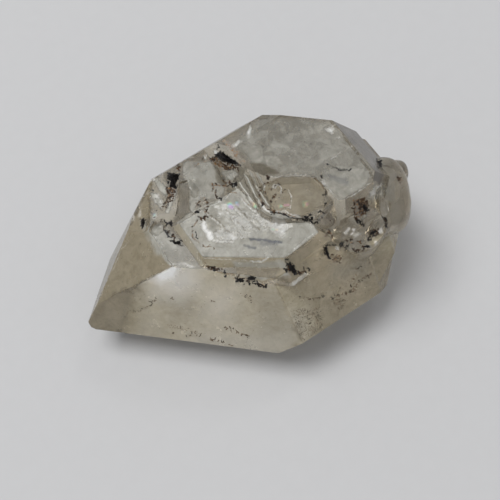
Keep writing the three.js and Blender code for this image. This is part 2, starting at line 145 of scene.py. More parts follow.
# Areas on the surface, by what they show: how strong, how soft their edge, outline, and what they keep to.
AREAS = {
    "pale": [
        # The middle level, the light step and the low step at the left
        (0.62, 1, [(176, 222), (193.5, 210), (222.5, 197), (236, 188), (262, 208), (299, 216), (313, 224),
            (320, 236), (288, 264), (262, 267), (202, 264)], FLAT),
        (0.46, 1, [(183, 163), (191, 160), (212, 163), (222, 177), (226, 184), (222, 194), (218, 199),
            (208, 199), (201, 198), (194, 212), (190, 212), (189, 190), (183, 178)]),
        (0.39, 1, [(144, 223), (164, 226), (186, 246), (202, 268), (173, 270), (158, 250)], FLAT),
        (0.62, 5, [(144, 223), (164, 226), (180, 244), (182, 252), (158, 252)], FLAT),
        # The high crystal's top
        (0.34, 3, [(232, 146), (258, 119), (300, 118), (331, 122), (372, 168), (366, 188), (338, 198),
            (313, 176), (270, 175), (252, 160)]),
        (0.46, 1, [(325, 170), (336, 165), (350, 165), (372, 172), (366, 184), (345, 199), (338, 198),
            (321, 181)]),
        (0.3, 5, [(318, 158), (336, 148), (352, 146), (358, 160), (346, 166), (326, 166)]),
        (0.48, 2, [(252, 152), (280, 156), (284, 166), (262, 163), (250, 162)]),
        (0.46, 4, [(312, 150), (330, 140), (344, 146), (340, 158), (322, 162)]),
        (0.44, 5, [(262, 134), (290, 140), (296, 152), (270, 152)]),
        (0.45, 4, [(236, 144), (262, 142), (268, 156), (250, 162)]),
        # The lens lobe
        (0.05, 3, LENS_OUTLINE),
        # Strips at the left, the stair's head and spots by the end lobes
        (0.8, 1, [(154, 180), (158, 178), (167, 190), (166, 196), (160, 191)]),
        (0.8, 1, [(151, 193), (155, 193), (164, 205), (162, 209), (155, 202)]),
        (0.8, 1, [(172, 192), (177, 190), (174, 200), (168, 213), (165, 212), (169, 200)]),
        (0.6, 1, [(222, 172), (232, 168), (238, 174), (232, 180), (226, 180)]),
        (0.5, 1.5, [(362, 214), (369, 212), (362, 224)]),
        (0.4, 2, [(372, 186), (384, 180), (390, 190), (374, 200), (367, 198)]),
        (0.3, 2, [(216, 143), (222, 141), (228, 152), (222, 150)]),
        # Painted light on the light step's side and the riser at the front, where shade falls
        (0.45, 1, [(198, 212), (222, 186), (228, 190), (204, 216)], STEEP),
        (0.3, 2, [(234, 262), (262, 263), (284, 260), (290, 276), (262, 280), (236, 275)], STEEP),
    ],
    "haze": [
        # The large front faces: milky haze, and on the tip's front face a painted glow of light
        (0.8, 10, [(118, 350), (122, 310), (130, 292), (150, 270), (182, 254), (290, 260), (320, 345),
            (286, 370)], TIP_FRONT_FACE),
        (1, 8, [(262, 276), (282, 280), (306, 296), (318, 340), (280, 366)], LONG_FRONT_FACE),
        (1, 14, [(266, 290), (312, 296), (330, 328), (280, 366)], LONG_FRONT_FACE),
        (1, 5, [(366, 238), (398, 230), (394, 254), (372, 254)]),
        # Risers and broken ground
        (0.8, 1, FRONT_RISER, STEEP),
        (0.7, 1, [(177, 221), (188, 228), (208, 260), (199, 270), (180, 247), (166, 235)], STEEP),
        (0.34, 2, [(151, 182), (164, 174), (168, 190), (180, 196), (176, 222), (150, 222), (150, 200)]),
    ],
    "milky_shade": [
        # Painted shade, in darker milky colours, on the large front faces
        (0.6, 14, [(70, 330), (112, 280), (134, 288), (134, 318), (120, 350)], TIP_FRONT_FACE),
        (0.62, 1, TIP_TOP_FACE),
        (0.75, 2.5, LONG_FRONT_FACE),
        # Ground between the lobes, and the shelf at the front
        (0.55, 2, [(312, 229), (330, 231), (332, 242), (316, 242)]),
        (0.5, 2, [(370, 194), (379, 194), (379, 208), (371, 208)]),
        (0.4, 2, [(369, 237), (386, 230), (388, 244), (373, 252)]),
        (0.65, 3, [(286, 257), (316, 236), (334, 240), (350, 252), (372, 252), (330, 266), (306, 276),
            (290, 282), (272, 276)]),
        # The riser at the front, the left edge and the lens lobe
        (0.4, 2, [(234, 263), (286, 263), (288, 276), (262, 281), (236, 275)]),
        (0.7, 1, FRONT_RISER, STEEP),
        (0.6, 2, [(123, 240), (140, 206), (150, 181), (152, 181), (149, 218), (130, 240)]),
        (0.5, 2, LENS_OUTLINE),
    ],
    "painted_glare": [
        # Painted glare on the large front faces
        (1.1, 7, [(144, 272), (180, 256), (181, 268), (176, 280), (160, 285)], TIP_FRONT_FACE),
        (0.5, 12, [(160, 262), (196, 262), (200, 286), (180, 300), (156, 292)], TIP_FRONT_FACE),
        (0.26, 14, [(206, 286), (236, 290), (232, 322), (204, 320)], TIP_FRONT_FACE),
        (0.16, 10, [(200, 326), (290, 334), (296, 356), (180, 350)], TIP_FRONT_FACE),
        (0.14, 10, [(272, 308), (306, 312), (312, 338), (284, 354)], LONG_FRONT_FACE),
        # Painted highlights on chips in the middle level's window, and a painted gleam by the end lobes
        (0.8, 1, WINDOW_CHIP_1),
        (0.8, 1, WINDOW_CHIP_2),
        (0.6, 1.6, [(351, 234.5), (357, 232), (362, 233.5), (356, 237)]),
    ],
    "shade": [
        # The large front faces
        (0.2, 8, [(330, 262), (366, 258), (364, 276), (332, 282)], LONG_FRONT_FACE),
        (0.12, 9, [(160, 300), (192, 298), (200, 316), (170, 322)], TIP_FRONT_FACE),
        (0.1, 10, [(252, 292), (278, 288), (298, 334), (266, 340)], TIP_FRONT_FACE),
        # The lobes and the ground between them
        (0.06, 5, [(296, 178), (312, 178), (325, 191), (322, 206), (304, 212)]),
        (0.13, 4, [(378, 165), (404, 160), (414, 190), (400, 236), (386, 240), (380, 226), (384, 200)]),
        (0.12, 2, [(326, 196), (346, 200), (366, 190), (370, 200), (362, 226), (336, 226), (324, 212)]),
        (0.14, 3, [(316, 226), (340, 228), (368, 226), (386, 216), (392, 236), (362, 248), (330, 244)]),
        # The broken top
        (0.6, 1, [(257, 119), (260, 114), (269, 114), (268, 119)]),
        (0.4, 1, [(250, 164), (260, 163.5), (280, 172.5), (264, 175.5), (255, 171)]),
        (0.18, 1.2, [(180, 178), (186, 178), (190, 190), (190, 213), (180, 222), (172, 222), (182, 198)]),
        (0.3, 1, [(213, 163), (219, 168), (226, 180), (224, 188), (217, 182)]),
        (0.6, 1, [(238, 168), (246, 168), (240, 182), (232, 182), (238, 174)]),
        (0.12, 3, [(204, 216), (216, 210), (224, 218), (222, 232), (208, 228)]),
    ],
    "deep_shade": [
        # Painted shade on the high crystal's back side, darker than the reflection it would show
        (0.6, 1, [(329, 117), (345, 120), (386, 156), (380, 184), (368, 174), (348, 146)], STEEP),
    ],
    "brown": [
        # Round the two largest grains
        (0.66, 1, [(219, 139), (226, 138), (247, 161), (242, 166), (229, 150)]),
        (0.8, 1, [(209, 158), (216, 156), (224, 164), (238, 168), (224, 170), (214, 164)]),
        (0.8, 1, [(168, 187), (176, 187), (174, 193), (168, 201), (163, 208), (167, 196)]),
        # By the end lobes
        (0.75, 1.2, [(352, 200), (363, 197), (369, 205), (366, 213), (358, 222), (354, 212)]),
        (0.5, 1.5, [(396, 175), (402, 175), (404, 182), (399, 185)]),
        (0.25, 3, [(390, 160), (404, 162), (409, 172), (404, 176), (392, 170)]),
        (0.45, 1, [(366, 231), (376, 229), (378, 235), (369, 237)]),
        # Along the front
        (0.6, 1, [(331, 256), (341, 255), (341, 261), (333, 262)]),
        (0.4, 1, [(284, 262), (290, 262), (298, 272), (308, 270), (304, 275), (290, 276)]),
        (0.4, 1, [(208, 265), (218, 267), (246, 279), (266, 284), (262, 287), (240, 282), (218, 272)]),
    ],
    "frost_and_glint": [
        # The middle level's window
        (0.28, 3, [(220, 210), (236, 207), (262, 214), (268, 232), (250, 238), (216, 240), (222, 228)]),
        (0.08, 3, [(198, 222), (208, 212), (222, 208), (222, 238), (200, 238)]),
        (0.5, 2.5, [(228, 214), (250, 216), (262, 226), (250, 232), (236, 228)]),
        (0.4, 2, [(214, 208), (226, 206), (230, 214), (218, 218)]),
        (0.45, 1.5, [(250, 213), (268, 217), (272, 224), (262, 224)]),
        (1.2, 1, WINDOW_CHIP_1),
        (1.2, 1, WINDOW_CHIP_2),
        (1, 1.5, [(214, 232), (218, 229), (226, 233), (236, 231), (237, 239), (222, 240), (216, 237)]),
        (1, 3.5, [(268, 224), (274, 219), (285, 221), (289, 228), (282, 235), (271, 231)]),
        # Bright breaks and painted glints elsewhere
        (1, 0.8, [(290, 286), (289, 283.5), (306, 272.5), (309, 274), (293, 286)]),
        (0.9, 1.5, [(324, 129), (333, 127), (333, 134), (327, 132)]),
        (1, 0.8, [(229, 146), (239, 139), (241, 141), (232, 149)]),
        (1, 0.8, [(246, 137), (250, 124), (252, 128), (249, 138)]),
        (0.8, 0.8, [(369, 192), (374, 187), (382, 183), (376, 192), (371, 198)]),
        (0.55, 0.8, [(373, 242), (378, 241), (379, 245), (375, 246)]),
        (0.9, 0.8, [(335, 246), (338, 246), (338, 251), (335, 250)]),
        (1.3, 0.8, [(213, 150), (218, 151), (217, 155), (214, 154)]),
        (1, 0.8, [(204, 156), (207, 156), (207, 159), (204, 159)]),
        (0.5, 1, [(172, 265), (183, 264), (192, 267), (182, 268)]),
        (1, 0.8, [(152, 212), (157, 210), (158, 217), (153, 219)]),
        (0.7, 0.8, [(273, 183), (277, 184), (276, 189), (272, 188)]),
        (0.4, 0.8, [(336, 228), (341, 231), (339, 234), (335, 231)]),
    ],
    "flash": [
        # Painted rainbow flashes, as light off thin films in cracks
        (1.1, 1.2, [(227, 203), (231, 201.5), (234, 207), (232, 210), (228, 208)]),
        (0.9, 1, [(236, 201), (239, 202), (239, 206), (236, 205)]),
        (0.9, 1, [(251, 201), (255, 203), (258, 208), (253, 207)]),
        (0.8, 1, [(276, 206), (289, 203), (290, 206), (279, 209)]),
        (0.7, 2, [(302, 201), (308, 201), (309, 207), (303, 207)]),
        (0.6, 1, [(271, 228), (278, 228), (278, 231), (272, 231)]),
        (0.7, 1, [(152, 213), (156, 211), (156, 215), (154, 217)]),
    ],
    "black": [
        (1, 0.8, [(214, 155), (222, 152), (243, 166), (228, 163)]),
        (0.8, 0.8, [(194, 211), (199, 210), (199.5, 213), (195, 214)]),
        (0.6, 0.8, [(324, 245), (328, 245), (327.5, 251), (331, 259), (327, 257)]),
    ],
}

# Lines on the surface, by what they show: how strong, half width in pixels, and points.
STROKES = {
    "black": [
        (1, 0.7, [(271, 212), (278, 213), (285, 215), (291, 218), (300, 219), (309, 219), (313, 223)]),
        (0.9, 0.7, [(164, 230), (170, 237)]),
        (0.6, 0.6, [(170, 240), (176, 244), (182, 245), (178, 239)]),
        (0.9, 0.7, [(163, 219), (167, 224), (171, 223)]),
        (0.9, 0.8, [(210, 267), (217, 269)]),
        (0.9, 0.6, [(252, 283), (260, 284), (265, 287)]),
        (0.5, 0.5, LOBE_CRACK),
        (0.8, 0.5, TOP_CRACK),
    ],
    "brown": [
        (0.7, 0.5, [(313, 177), (320, 183), (326, 191), (327, 196)]),
        (0.6, 0.7, [(197, 221), (193, 226), (192, 232), (193, 238), (198, 242), (205, 246), (214, 247)]),
        (0.6, 0.7, [(222, 189), (232, 192), (240, 195), (248, 204), (262, 214)]),
        (0.8, 0.7, [(213, 184), (220, 186), (229, 186)]),
        (0.8, 0.7, [(213, 184), (215, 190), (217, 196), (219, 199)]),
        (0.7, 0.7, [(222, 180), (225, 184), (228, 180), (232, 184)]),
        (0.8, 0.7, RUSTY_LOOP),
        (0.7, 0.7, RUSTY_HOOK),
        (0.6, 1, [(272, 210), (286, 213), (300, 218), (312, 221), (322, 214)]),
        (0.7, 0.7, [(262, 184), (258, 190), (262, 202), (272, 211)]),
        (0.7, 0.6, [(260, 190), (266, 195), (270, 188), (268, 182), (264, 186)]),
        (0.6, 0.6, [(266, 200), (272, 196), (276, 201), (272, 206)]),
        (0.6, 0.6, [(270, 182), (276, 180), (282, 184), (280, 190), (274, 190)]),
        (0.7, 0.7, [(181, 163), (179, 172)]),
        (0.7, 0.7, [(190, 161), (195, 166), (200, 162), (212, 160)]),
        (0.7, 0.7, [(328, 232), (331, 234), (332, 239)]),
        (0.6, 0.6, [(348, 249), (350, 243), (354, 242), (354, 248), (361, 252)]),
        (0.7, 0.6, [(355, 200), (354, 210), (358, 222)]),
        (0.7, 0.6, [(200, 259), (203, 260), (206, 263)]),
    ],
    "frost_and_glint": [
        # Bright edges, as painted highlights, and hairlines
        (0.6, 0.5, [(288, 190), (291, 196), (290, 208), (284, 209)]),
        (0.8, 0.6, [(278, 184), (282, 188), (280, 194)]),
        (0.8, 0.6, [(274, 212), (284, 211), (290, 213), (300, 217)]),
        (1.3, 0.7, [(250, 261), (263, 261.5), (268, 257)]),
        (0.9, 0.6, [(213, 241), (232, 242)]),
        (0.9, 0.5, [(232, 230), (237, 239)]),
        (0.9, 0.5, [(238, 231), (242, 238)]),
        (0.3, 0.6, [(128.6, 243), (122, 248), (116, 262), (107, 279), (97, 302), (92, 312)]),
        (0.8, 0.6, [(322, 182), (338, 198), (345, 199), (352, 196), (368, 184)]),
        (0.4, 0.6, [(313, 233), (284, 258)]),
        (0.4, 0.5, [(205, 258), (250, 261)]),
        (0.6, 0.5, [(148, 225), (160, 246), (172, 266)]),
        (0.7, 0.5, [(268, 178), (284, 175.5), (302, 175), (314, 177)]),
        (0.7, 0.5, [(330, 160), (345, 150), (352, 146)]),
        (0.7, 0.5, [(334, 138), (340, 139)]),
        (0.6, 0.5, [(147, 279), (160, 273), (172, 267)]),
        # Cracks in the middle level's window
        (0.4, 0.5, [(206, 214), (218, 224), (228, 233)]),
        (0.8, 0.5, [(222, 209), (233, 220), (240, 231)]),
        (0.9, 0.5, [(233, 207), (246, 219), (256, 232)]),
        (0.8, 0.5, [(244, 211), (258, 221), (267, 229)]),
        (0.9, 0.5, [(240, 198), (250, 208), (260, 214), (266, 215)]),
        (0.6, 0.5, [(232, 192), (224, 200), (208, 207), (196, 213), (182, 223)]),
    ],
    "pale": [
        # Painted light along the ridges of the stair
        (1, 0.7, [(243, 172), (252, 188), (262, 206), (272, 213)]),
        (1, 0.7, [(249, 171), (260, 191), (268, 206)]),
        (1, 0.7, [(256, 171), (264, 185), (264, 190)]),
        (1, 0.7, [(237, 178), (247, 194), (258, 208)]),
        (1, 0.7, [(232, 183), (240, 192), (250, 204)]),
    ],
    "shade": [
        # Between the stair's ridges
        (0.3, 0.5, [(240, 174), (250, 190), (260, 207), (270, 214)]),
        (0.3, 0.5, [(246, 171), (256, 189), (265, 206)]),
        (0.3, 0.5, [(252, 170), (262, 188), (266, 198)]),
        (0.3, 0.5, [(234, 180), (244, 194), (254, 207)]),
        # Edges of the lens lobe and the high crystal, and cracks in the window
        (0.9, 0.6, [(313, 177), (322, 184), (327, 194), (324, 206)]),
        (0.9, 0.6, [(331, 121), (352, 146), (374, 178)]),
        (0.7, 0.4, [(208, 213), (221, 224), (231, 233)]),
        (0.7, 0.4, [(226, 209), (237, 220), (245, 231)]),
        (0.7, 0.4, [(238, 208), (250, 220), (260, 231)]),
        (0.6, 0.4, [(232, 231), (237, 239)]),
        (0.6, 0.4, [(239, 231), (243, 238)]),
    ],
    "dark_reflection": [
        # Painted dark reflections, as blue-grey streaks
        (1, 1.3, [(250, 239), (262, 240), (281, 242)]),
        (0.8, 1.2, [(244, 245), (256, 248)]),
        (0.5, 2.2, [(262, 244), (276, 243)]),
        (0.5, 3, [(328, 176), (346, 182)]),
    ],
}

# Crumbs caught in the surface, in the photograph's pixels: over an area or along a line, how many, their
# size, and the outline or the line.
CARBON_CRUMBS = [
    # Round the two largest grains
    ("area", 40, 2.1, [(166, 173), (180, 173), (178, 188), (168, 187)]),
    ("area", 60, 1.6, [(211, 157), (222, 150), (244, 166), (226, 165)]),
    ("line", 14, 1.6, [(219, 147), (222, 152)]),
    ("line", 16, 1.4, [(199, 161), (206, 158), (213, 159)]),
    # On the broken levels at the left
    ("area", 34, 1.8, [(230.5, 183.5), (237, 182.5), (237, 186), (232, 187.5)]),
    ("area", 10, 1.7, [(218, 197), (222, 197), (221, 201)]),
    ("area", 18, 1.5, [(194, 211), (199.5, 209.5), (199.5, 213), (195, 214)]),
    ("area", 26, 2, [(140, 219), (146, 218), (145, 229), (141, 229)]),
    ("line", 6, 1.6, [(149, 188), (150, 192)]),
    ("area", 18, 1.6, [(163, 229), (168, 230), (172, 238), (167, 237)]),
    ("line", 22, 1.3, [(170, 240), (175, 244), (181, 246), (181, 241), (177, 239)]),
    ("line", 30, 1.7, [(162, 218), (166, 224), (171, 223), (171, 218)]),
    # Along the foot of the middle level
    ("area", 16, 1.6, [(209, 266), (218, 267), (217, 271), (210, 270)]),
    ("line", 16, 1.7, [(220, 270), (226, 272), (226, 276)]),
    ("area", 30, 2.1, [(235, 278), (244, 278), (243, 282), (236, 282)]),
    ("area", 20, 2, [(246, 276), (257, 276), (256, 281), (247, 281)]),
    ("line", 12, 1.7, [(244, 284), (250, 285)]),
    ("line", 36, 1.8, [(252, 283), (260, 284), (267, 288)]),
    ("area", 40, 2, [(284, 257), (289, 258), (298, 272), (295, 276), (289, 271)]),
    ("area", 16, 2, [(283, 268), (288, 269), (287, 273)]),
    ("line", 24, 1.8, [(297, 273), (303, 271), (310, 271)]),
    # Right of the lens lobe
    ("line", 18, 1.5, [(326, 203), (323, 207), (321, 211)]),
    ("line", 14, 1.1, [(323, 212), (330, 220)]),
    ("line", 14, 1.1, [(313, 225), (322, 218)]),
    # By the end lobes
    ("area", 50, 1.6, [(323, 244), (328, 244), (328, 251), (332, 259), (327, 259), (324, 252)]),
    ("line", 40, 1.3, LOBE_CRACK),
    ("line", 20, 1.8, [(340, 243), (344, 250)]),
    ("line", 30, 1.1, [(346, 249), (350, 243), (354, 243), (354, 249), (361, 252)]),
    ("line", 34, 1.8, [(370, 239), (367, 244), (365, 250)]),
    ("area", 44, 1.4, [(367, 232), (379, 229), (378, 235), (370, 238)]),
    ("area", 40, 1.6, [(382, 216), (387, 218), (389, 229), (384, 227)]),
    ("area", 44, 2.1, [(376, 158), (382, 159), (381, 169), (378, 168)]),
    ("line", 10, 1.8, [(360, 204), (362, 206)]),
    ("line", 12, 1.8, [(366, 209), (368, 211)]),
    ("line", 30, 1.7, [(355, 216), (358, 221), (362, 225)]),
    # Round the lens lobe
    ("line", 90, 0.95, [(271, 212), (278, 213), (285, 215), (291, 218), (300, 219), (309, 219)]),
    ("area", 50, 1.8, [(301, 217), (312, 214), (314, 221), (304, 221)]),
    ("line", 14, 1.2, [(310, 222), (314, 224), (320, 219)]),
    ("line", 30, 0.7, [(313, 177), (320, 183), (326, 190)]),
    ("line", 12, 1.7, [(326, 191), (326, 196)]),
    # On the high crystal's top, and strays
    ("line", 60, 0.9, TOP_CRACK),
    ("line", 6, 1.8, [(262, 206), (264, 208)]),
    ("line", 6, 1.7, [(320, 175), (322, 176)]),
    ("line", 6, 1.8, [(348, 170), (350, 172)]),
    ("line", 14, 1.4, [(195, 230), (196, 236), (200, 240)]),
    ("area", 20, 1, [(262, 180), (288, 180), (290, 206), (270, 208)]),
    ("area", 30, 0.9, [(264, 122), (330, 128), (352, 160), (318, 172), (260, 160)]),
]
RUST_CRUMBS = [
    # Round the two largest grains
    ("area", 103, 1.8, [(166, 187), (176, 187), (174, 198), (168, 208), (161, 207), (167, 197)]),
    ("area", 150, 1.7, [(208, 158), (216, 155), (240, 165), (236, 169), (222, 168)]),
    ("line", 46, 1.8, [(222, 167), (232, 168), (240, 168)]),
    ("line", 28, 1.6, [(178, 172), (181, 163)]),
    # On the broken levels at the left
    ("line", 46, 1.5, [(219, 200), (215, 192), (213, 184), (222, 186), (231, 185)]),
    ("line", 34, 1.3, [(222, 180), (225, 184), (228, 180), (233, 184)]),
    ("line", 69, 1.5, RUSTY_LOOP),
    ("line", 23, 1.3, RUSTY_HOOK),
    ("line", 40, 1.1, [(198, 221), (193, 226), (192, 232), (193, 238), (198, 242), (205, 246), (214, 247)]),
    # By the end lobes
    ("area", 46, 1.5, [(331, 254), (342, 254), (341, 263), (333, 263)]),
    ("line", 23, 1.5, [(324, 238), (330, 232), (333, 238)]),
    ("area", 195, 1.6, [(358, 199), (365, 197), (369, 205), (366, 214), (359, 216)]),
    ("line", 69, 1.6, [(357, 199), (354, 206), (354, 214), (358, 222)]),
    ("area", 34, 1.5, [(396, 176), (402, 177), (400, 184)]),
    # Round the lens lobe
    ("area", 28, 1.6, [(266, 175), (270, 177), (268, 181)]),
    ("line", 103, 1.3, [(268, 182), (262, 186), (259, 192), (262, 202), (271, 211), (288, 215)]),
    ("line", 69, 1.2, [(262, 188), (268, 194), (272, 188), (280, 184), (283, 190), (276, 195), (270, 203)]),
    ("area", 30, 1.1, [(313, 214), (326, 211), (332, 221), (318, 225)]),
    # By the end lobes, at the left and along the front
    ("line", 57, 1.5, [(344, 244), (350, 240), (360, 242), (364, 250), (352, 252)]),
    ("line", 46, 1.5, [(163, 228), (173, 237), (182, 247)]),
    ("area", 40, 1.7, [(207, 265.5), (217, 267.5), (216.5, 270.5), (207.5, 269)]),
    ("line", 57, 1.5, [(209, 266), (228, 272), (246, 281), (268, 287)]),
    ("line", 46, 1.6, [(284, 260), (292, 270), (297, 274), (308, 272)]),
    # By the end lobes and at the left
    ("area", 46, 1.5, [(366, 231), (378, 228), (380, 234), (372, 238)]),
    ("line", 23, 1.3, [(383, 217), (387, 226)]),
    ("area", 34, 1.2, [(155, 196), (180, 190), (176, 222), (152, 226)]),
]
SPECKS = [
    # On the pointed end's front face
    ("line", 88, 0.9, [(122, 318), (130, 313), (142, 309), (148, 307), (157, 298)]),
    ("line", 6, 1.2, [(150, 302), (152, 302)]),
    ("line", 12, 1.2, [(210, 301), (217, 301)]),
    ("line", 15, 1, [(169, 297), (174, 300)]),
    ("area", 60, 0.8, [(166, 324), (188, 327), (194, 332), (170, 328)]),
    ("line", 12, 1.1, [(173, 332), (174, 333)]),
    ("line", 45, 1.1, [(187, 337), (196, 331), (203, 337)]),
    ("line", 62, 1.1, [(208, 338), (220, 341), (232, 345)]),
    ("line", 88, 1.2, [(224, 328), (234, 329), (240, 333), (248, 336)]),
    ("area", 22, 1.1, [(236, 291), (252, 296), (252, 304)]),
    # On the long front face
    ("area", 520, 0.85, [(293, 310), (320, 306), (324, 326), (304, 341), (296, 330)]),
    ("line", 75, 1, [(300, 297), (315, 300), (324, 296)]),
    ("area", 140, 0.8, [(328, 296), (346, 300), (340, 312)]),
    ("line", 112, 1.1, [(332, 297), (348, 293), (356, 289)]),
    ("line", 100, 1, [(352, 290), (362, 279), (372, 273)]),
    ("line", 50, 1.1, [(339, 288), (352, 284), (358, 268), (372, 262)]),
    ("area", 360, 0.65, [(286, 290), (330, 278), (386, 256), (380, 286), (320, 328), (298, 338)]),
    # Strays
    ("area", 112, 0.65, [(150, 290), (190, 282), (266, 294), (286, 330), (240, 346), (140, 332)]),
    ("area", 38, 0.8, [(118, 300), (150, 292), (120, 322), (104, 320)]),
    ("area", 75, 0.8, [(310, 240), (370, 246), (368, 256), (320, 270), (300, 268)]),
    ("area", 50, 0.8, [(122, 250), (150, 240), (166, 262), (118, 288)]),
]

# Outlines of the solid model's grains, in the photograph's pixels, and how far each stands out.
GRAIN_OUTLINES = [
    ([(166.5, 175), (170, 172.5), (175, 173), (179.5, 174.5), (178, 180), (175.5, 184), (176.5, 188),
      (170, 188), (171, 182), (168, 179)], 0.55),
    ([(214, 154.5), (219, 151), (223, 153.5), (228, 158), (234, 161), (243, 166), (237, 165.8), (229, 162.5),
      (223, 161.5), (218, 158)], 0.45),
    ([(286, 257.5), (288.5, 259.5), (290.5, 264), (295.5, 269), (297.5, 273.5), (294.5, 275.5), (291, 271),
      (288, 265)], 0.4),
    ([(247, 278.5), (249.5, 276), (253, 275.5), (256.5, 278), (254, 280), (249.5, 280.5)], 0.35),
    ([(323.8, 244.5), (326.5, 245), (326.8, 249), (328.5, 254), (330, 258.5), (327.5, 257),
      (325, 251.5)], 0.25),
    ([(141, 221), (143.5, 218.5), (145.5, 221), (144.5, 225), (142.5, 228.5), (141.2, 225)], 0.35),
    ([(171, 240), (174, 242.3), (177, 243), (180, 240.5), (181, 243.5), (178, 245), (174, 244.2)], 0.2),
    ([(361.5, 204), (364, 203), (365, 206), (368.5, 209), (366.5, 211.5), (363, 209)], 0.3),
    ([(236, 279.5), (239, 278), (243.5, 278.5), (242.5, 281.5), (239, 280.5), (236.5, 282)], 0.25),
    ([(369.5, 233.5), (372, 231.5), (377, 230), (376, 232.5), (373.5, 234), (371, 235)], 0.2),
]

# The kinds of painted places, and how much light each stops where it is full.
OPACITY = {"pale": 1, "haze": 1, "painted_glare": 1, "milky_shade": 1, "shade": 0.85, "deep_shade": 1, "dark_reflection": 0.7, "frost_and_glint": 0.75,
           "brown": 0.9, "black": 1, "flash": 0.6}

# Colours of clear quartz and of the kinds that noise varies, from one to the other, painted shade among
# them.
QUARTZ_COLOURS = {
    "clear": ((0.8, 0.75, 0.64, 1), (0.92, 0.89, 0.81, 1)),
    "milky_shade": ((0.32, 0.272, 0.18, 1), (0.43, 0.374, 0.266, 1)),
    "haze": ((0.385, 0.332, 0.22, 1), (0.525, 0.462, 0.328, 1)),
    "pale": ((0.43, 0.42, 0.37, 1), (0.58, 0.57, 0.51, 1)),
    "shade": ((0.2, 0.18, 0.135, 1), (0.3, 0.275, 0.215, 1)),
    "deep_shade": ((0.08, 0.065, 0.04, 1), (0.13, 0.11, 0.075, 1)),
    "brown": ((0.03, 0.016, 0.008, 1), (0.27, 0.15, 0.06, 1)),
}
# Colours of the other kinds: painted glare, painted dark reflections, frost and glints, and black. The
# rainbow's have their places along it.
PAINTED_GLARE_COLOUR = (0.99, 0.985, 0.96, 1)
DARK_REFLECTION_COLOUR = (0.14, 0.15, 0.17, 1)
FROST_AND_GLINT_COLOUR = (0.9, 0.9, 0.87, 1)
BLACK_COLOUR = (0.01, 0.009, 0.009, 1)
RAINBOW = [(0.34, (1, 0.5, 0.68, 1)), (0.43, (1, 0.86, 0.48, 1)), (0.5, (0.5, 0.95, 0.62, 1)),
           (0.57, (0.45, 0.85, 1, 1)), (0.66, (0.85, 0.6, 1, 1))]
QUARTZ_INDEX = 1.544
DEPTH_COLOUR, DEPTH_DENSITY = (0.6, 0.5, 0.32, 1), 28

CARBON_COLOURS = ((0.006, 0.006, 0.007, 1), (0.03, 0.024, 0.02, 1))
RUST_COLOURS = [(0.38, (0.012, 0.008, 0.006, 1)), (0.52, (0.05, 0.026, 0.013, 1)),
                (0.64, (0.15, 0.085, 0.04, 1))]
SPECK_COLOURS = ((0.035, 0.026, 0.018, 1), (0.2, 0.14, 0.09, 1))
FLOOR_COLOURS = ((0.585, 0.585, 0.59, 1), (0.615, 0.615, 0.62, 1))

# Points and faces closer than this are one, and faces closer to parallel than this have no common corner.
SAME_POINT = 1e-4
ON_FACE = 1e-6
PARALLEL = 1e-6
CORNER_DIGITS = 5

# Finer than the solid model: worn edges, and bites whose ripples run round the place of a blow and whose
# surface is rough. A noise has how fast it fades, how much finer each layer is, and its layers.
EDGE_WEAR = 0.11
WEAR_RANGE = (0.5, 1.3)
BITE_DETAIL = 4
BITE_RIPPLE = 0.0175
RIPPLE_RATE = 14
BLOW_HEIGHT, BLOW_DISTANCE = 0.2, 1.1
BITE_ROUGHNESS = 0.06
BITE_WAVE = 2.2
BITE_NOISE = (0.9, 2.1, 4)
NOISE_SPAN = 50

# How finely the surface is divided, in millimetres: where it is seen from above, and elsewhere. An edge is
# divided when it is longer than this by the factor.
TOP_EDGE, SIDE_EDGE = 0.15, 0.7
LONG_FACTOR = 1.5
TOP_HEIGHT = 11.5
TOP_FACING = 0.2
MOST_ROUNDS = 12

# Faces that differ by less than this many degrees are one. Smaller faces than this are shaded smooth, up
# to an edge as sharp as this.
ONE_FACE_ANGLE = 0.25
SMOOTH_AREA = 0.12
SHARP_ANGLE = 40

# Scales in frosted places: how many levels, how deep, the least frost that has them, how soon they are
# full, and how much they lean. Their noise has rates along the stone and across it, which lean too.
SCALE_STEPS = 5
SCALE_DEPTH = 0.16
SCALE_START, SCALE_GAIN = 0.02, 1.5
SCALE_LEAN = 0.25
SCALE_RATES = (0.9, 0.5, 1.5)
SCALE_LAYER = 7
SCALE_NOISE = (0.8, 2, 3)

# Painting: how noise moves the outlines, as its rate and its reach in pixels, how soft the outline of a
# face is, how far up a normal points in steep and in flat parts, and how far towards the camera where the
# photograph shows a surface well.
PIXEL_WANDER = [(1.1, 1.2), (3.5, 1.1)]
FACE_EDGE = 0.9
STEEP_BELOW, FLAT_ABOVE = 0.6, 0.8
FACING_FULL = 0.3
HIDDEN_DEPTH = 0.08

# Grains: points round the rim in pixels, rings as shares of the rim and of the height, their two ends, and
# how much each point varies.
GRAIN_STEP = 1.2
GRAIN_JITTER = 0.35
GRAIN_RINGS = [(0.7, -0.6), (1, 0), (0.75, 0.65), (0.42, 1)]
GRAIN_BOTTOM, GRAIN_TOP = -0.8, 0.9
GRAIN_REACH = (0.85, 1.05)
GRAIN_LIFT = 0.25

# Crumbs: their shapes, how they lie in short chains along a line, and how their sizes vary.
GOLDEN_ANGLE = math.pi * (3 - math.sqrt(5))
CRUMB_SHAPES = 14
CRUMB_CORNERS = 12
CORNER_TURN = 0.5
CORNER_REACH = (0.72, 1)
CHAIN = 5
CHAIN_BEND = 0.7
CHAIN_STEP = (0.3, 0.6)
LINE_SPREAD = 0.5
HARD_EDGE = 0.01
PIXELS_PER_MM = 8.3
CRUMB_SIZE = (0.6, 1.6)
CRUMB_LENGTH, CRUMB_BREADTH, CRUMB_HEIGHT = (0.7, 1.3), (0.6, 1), (0.6, 1)
CRUMB_SPIN = 6.28

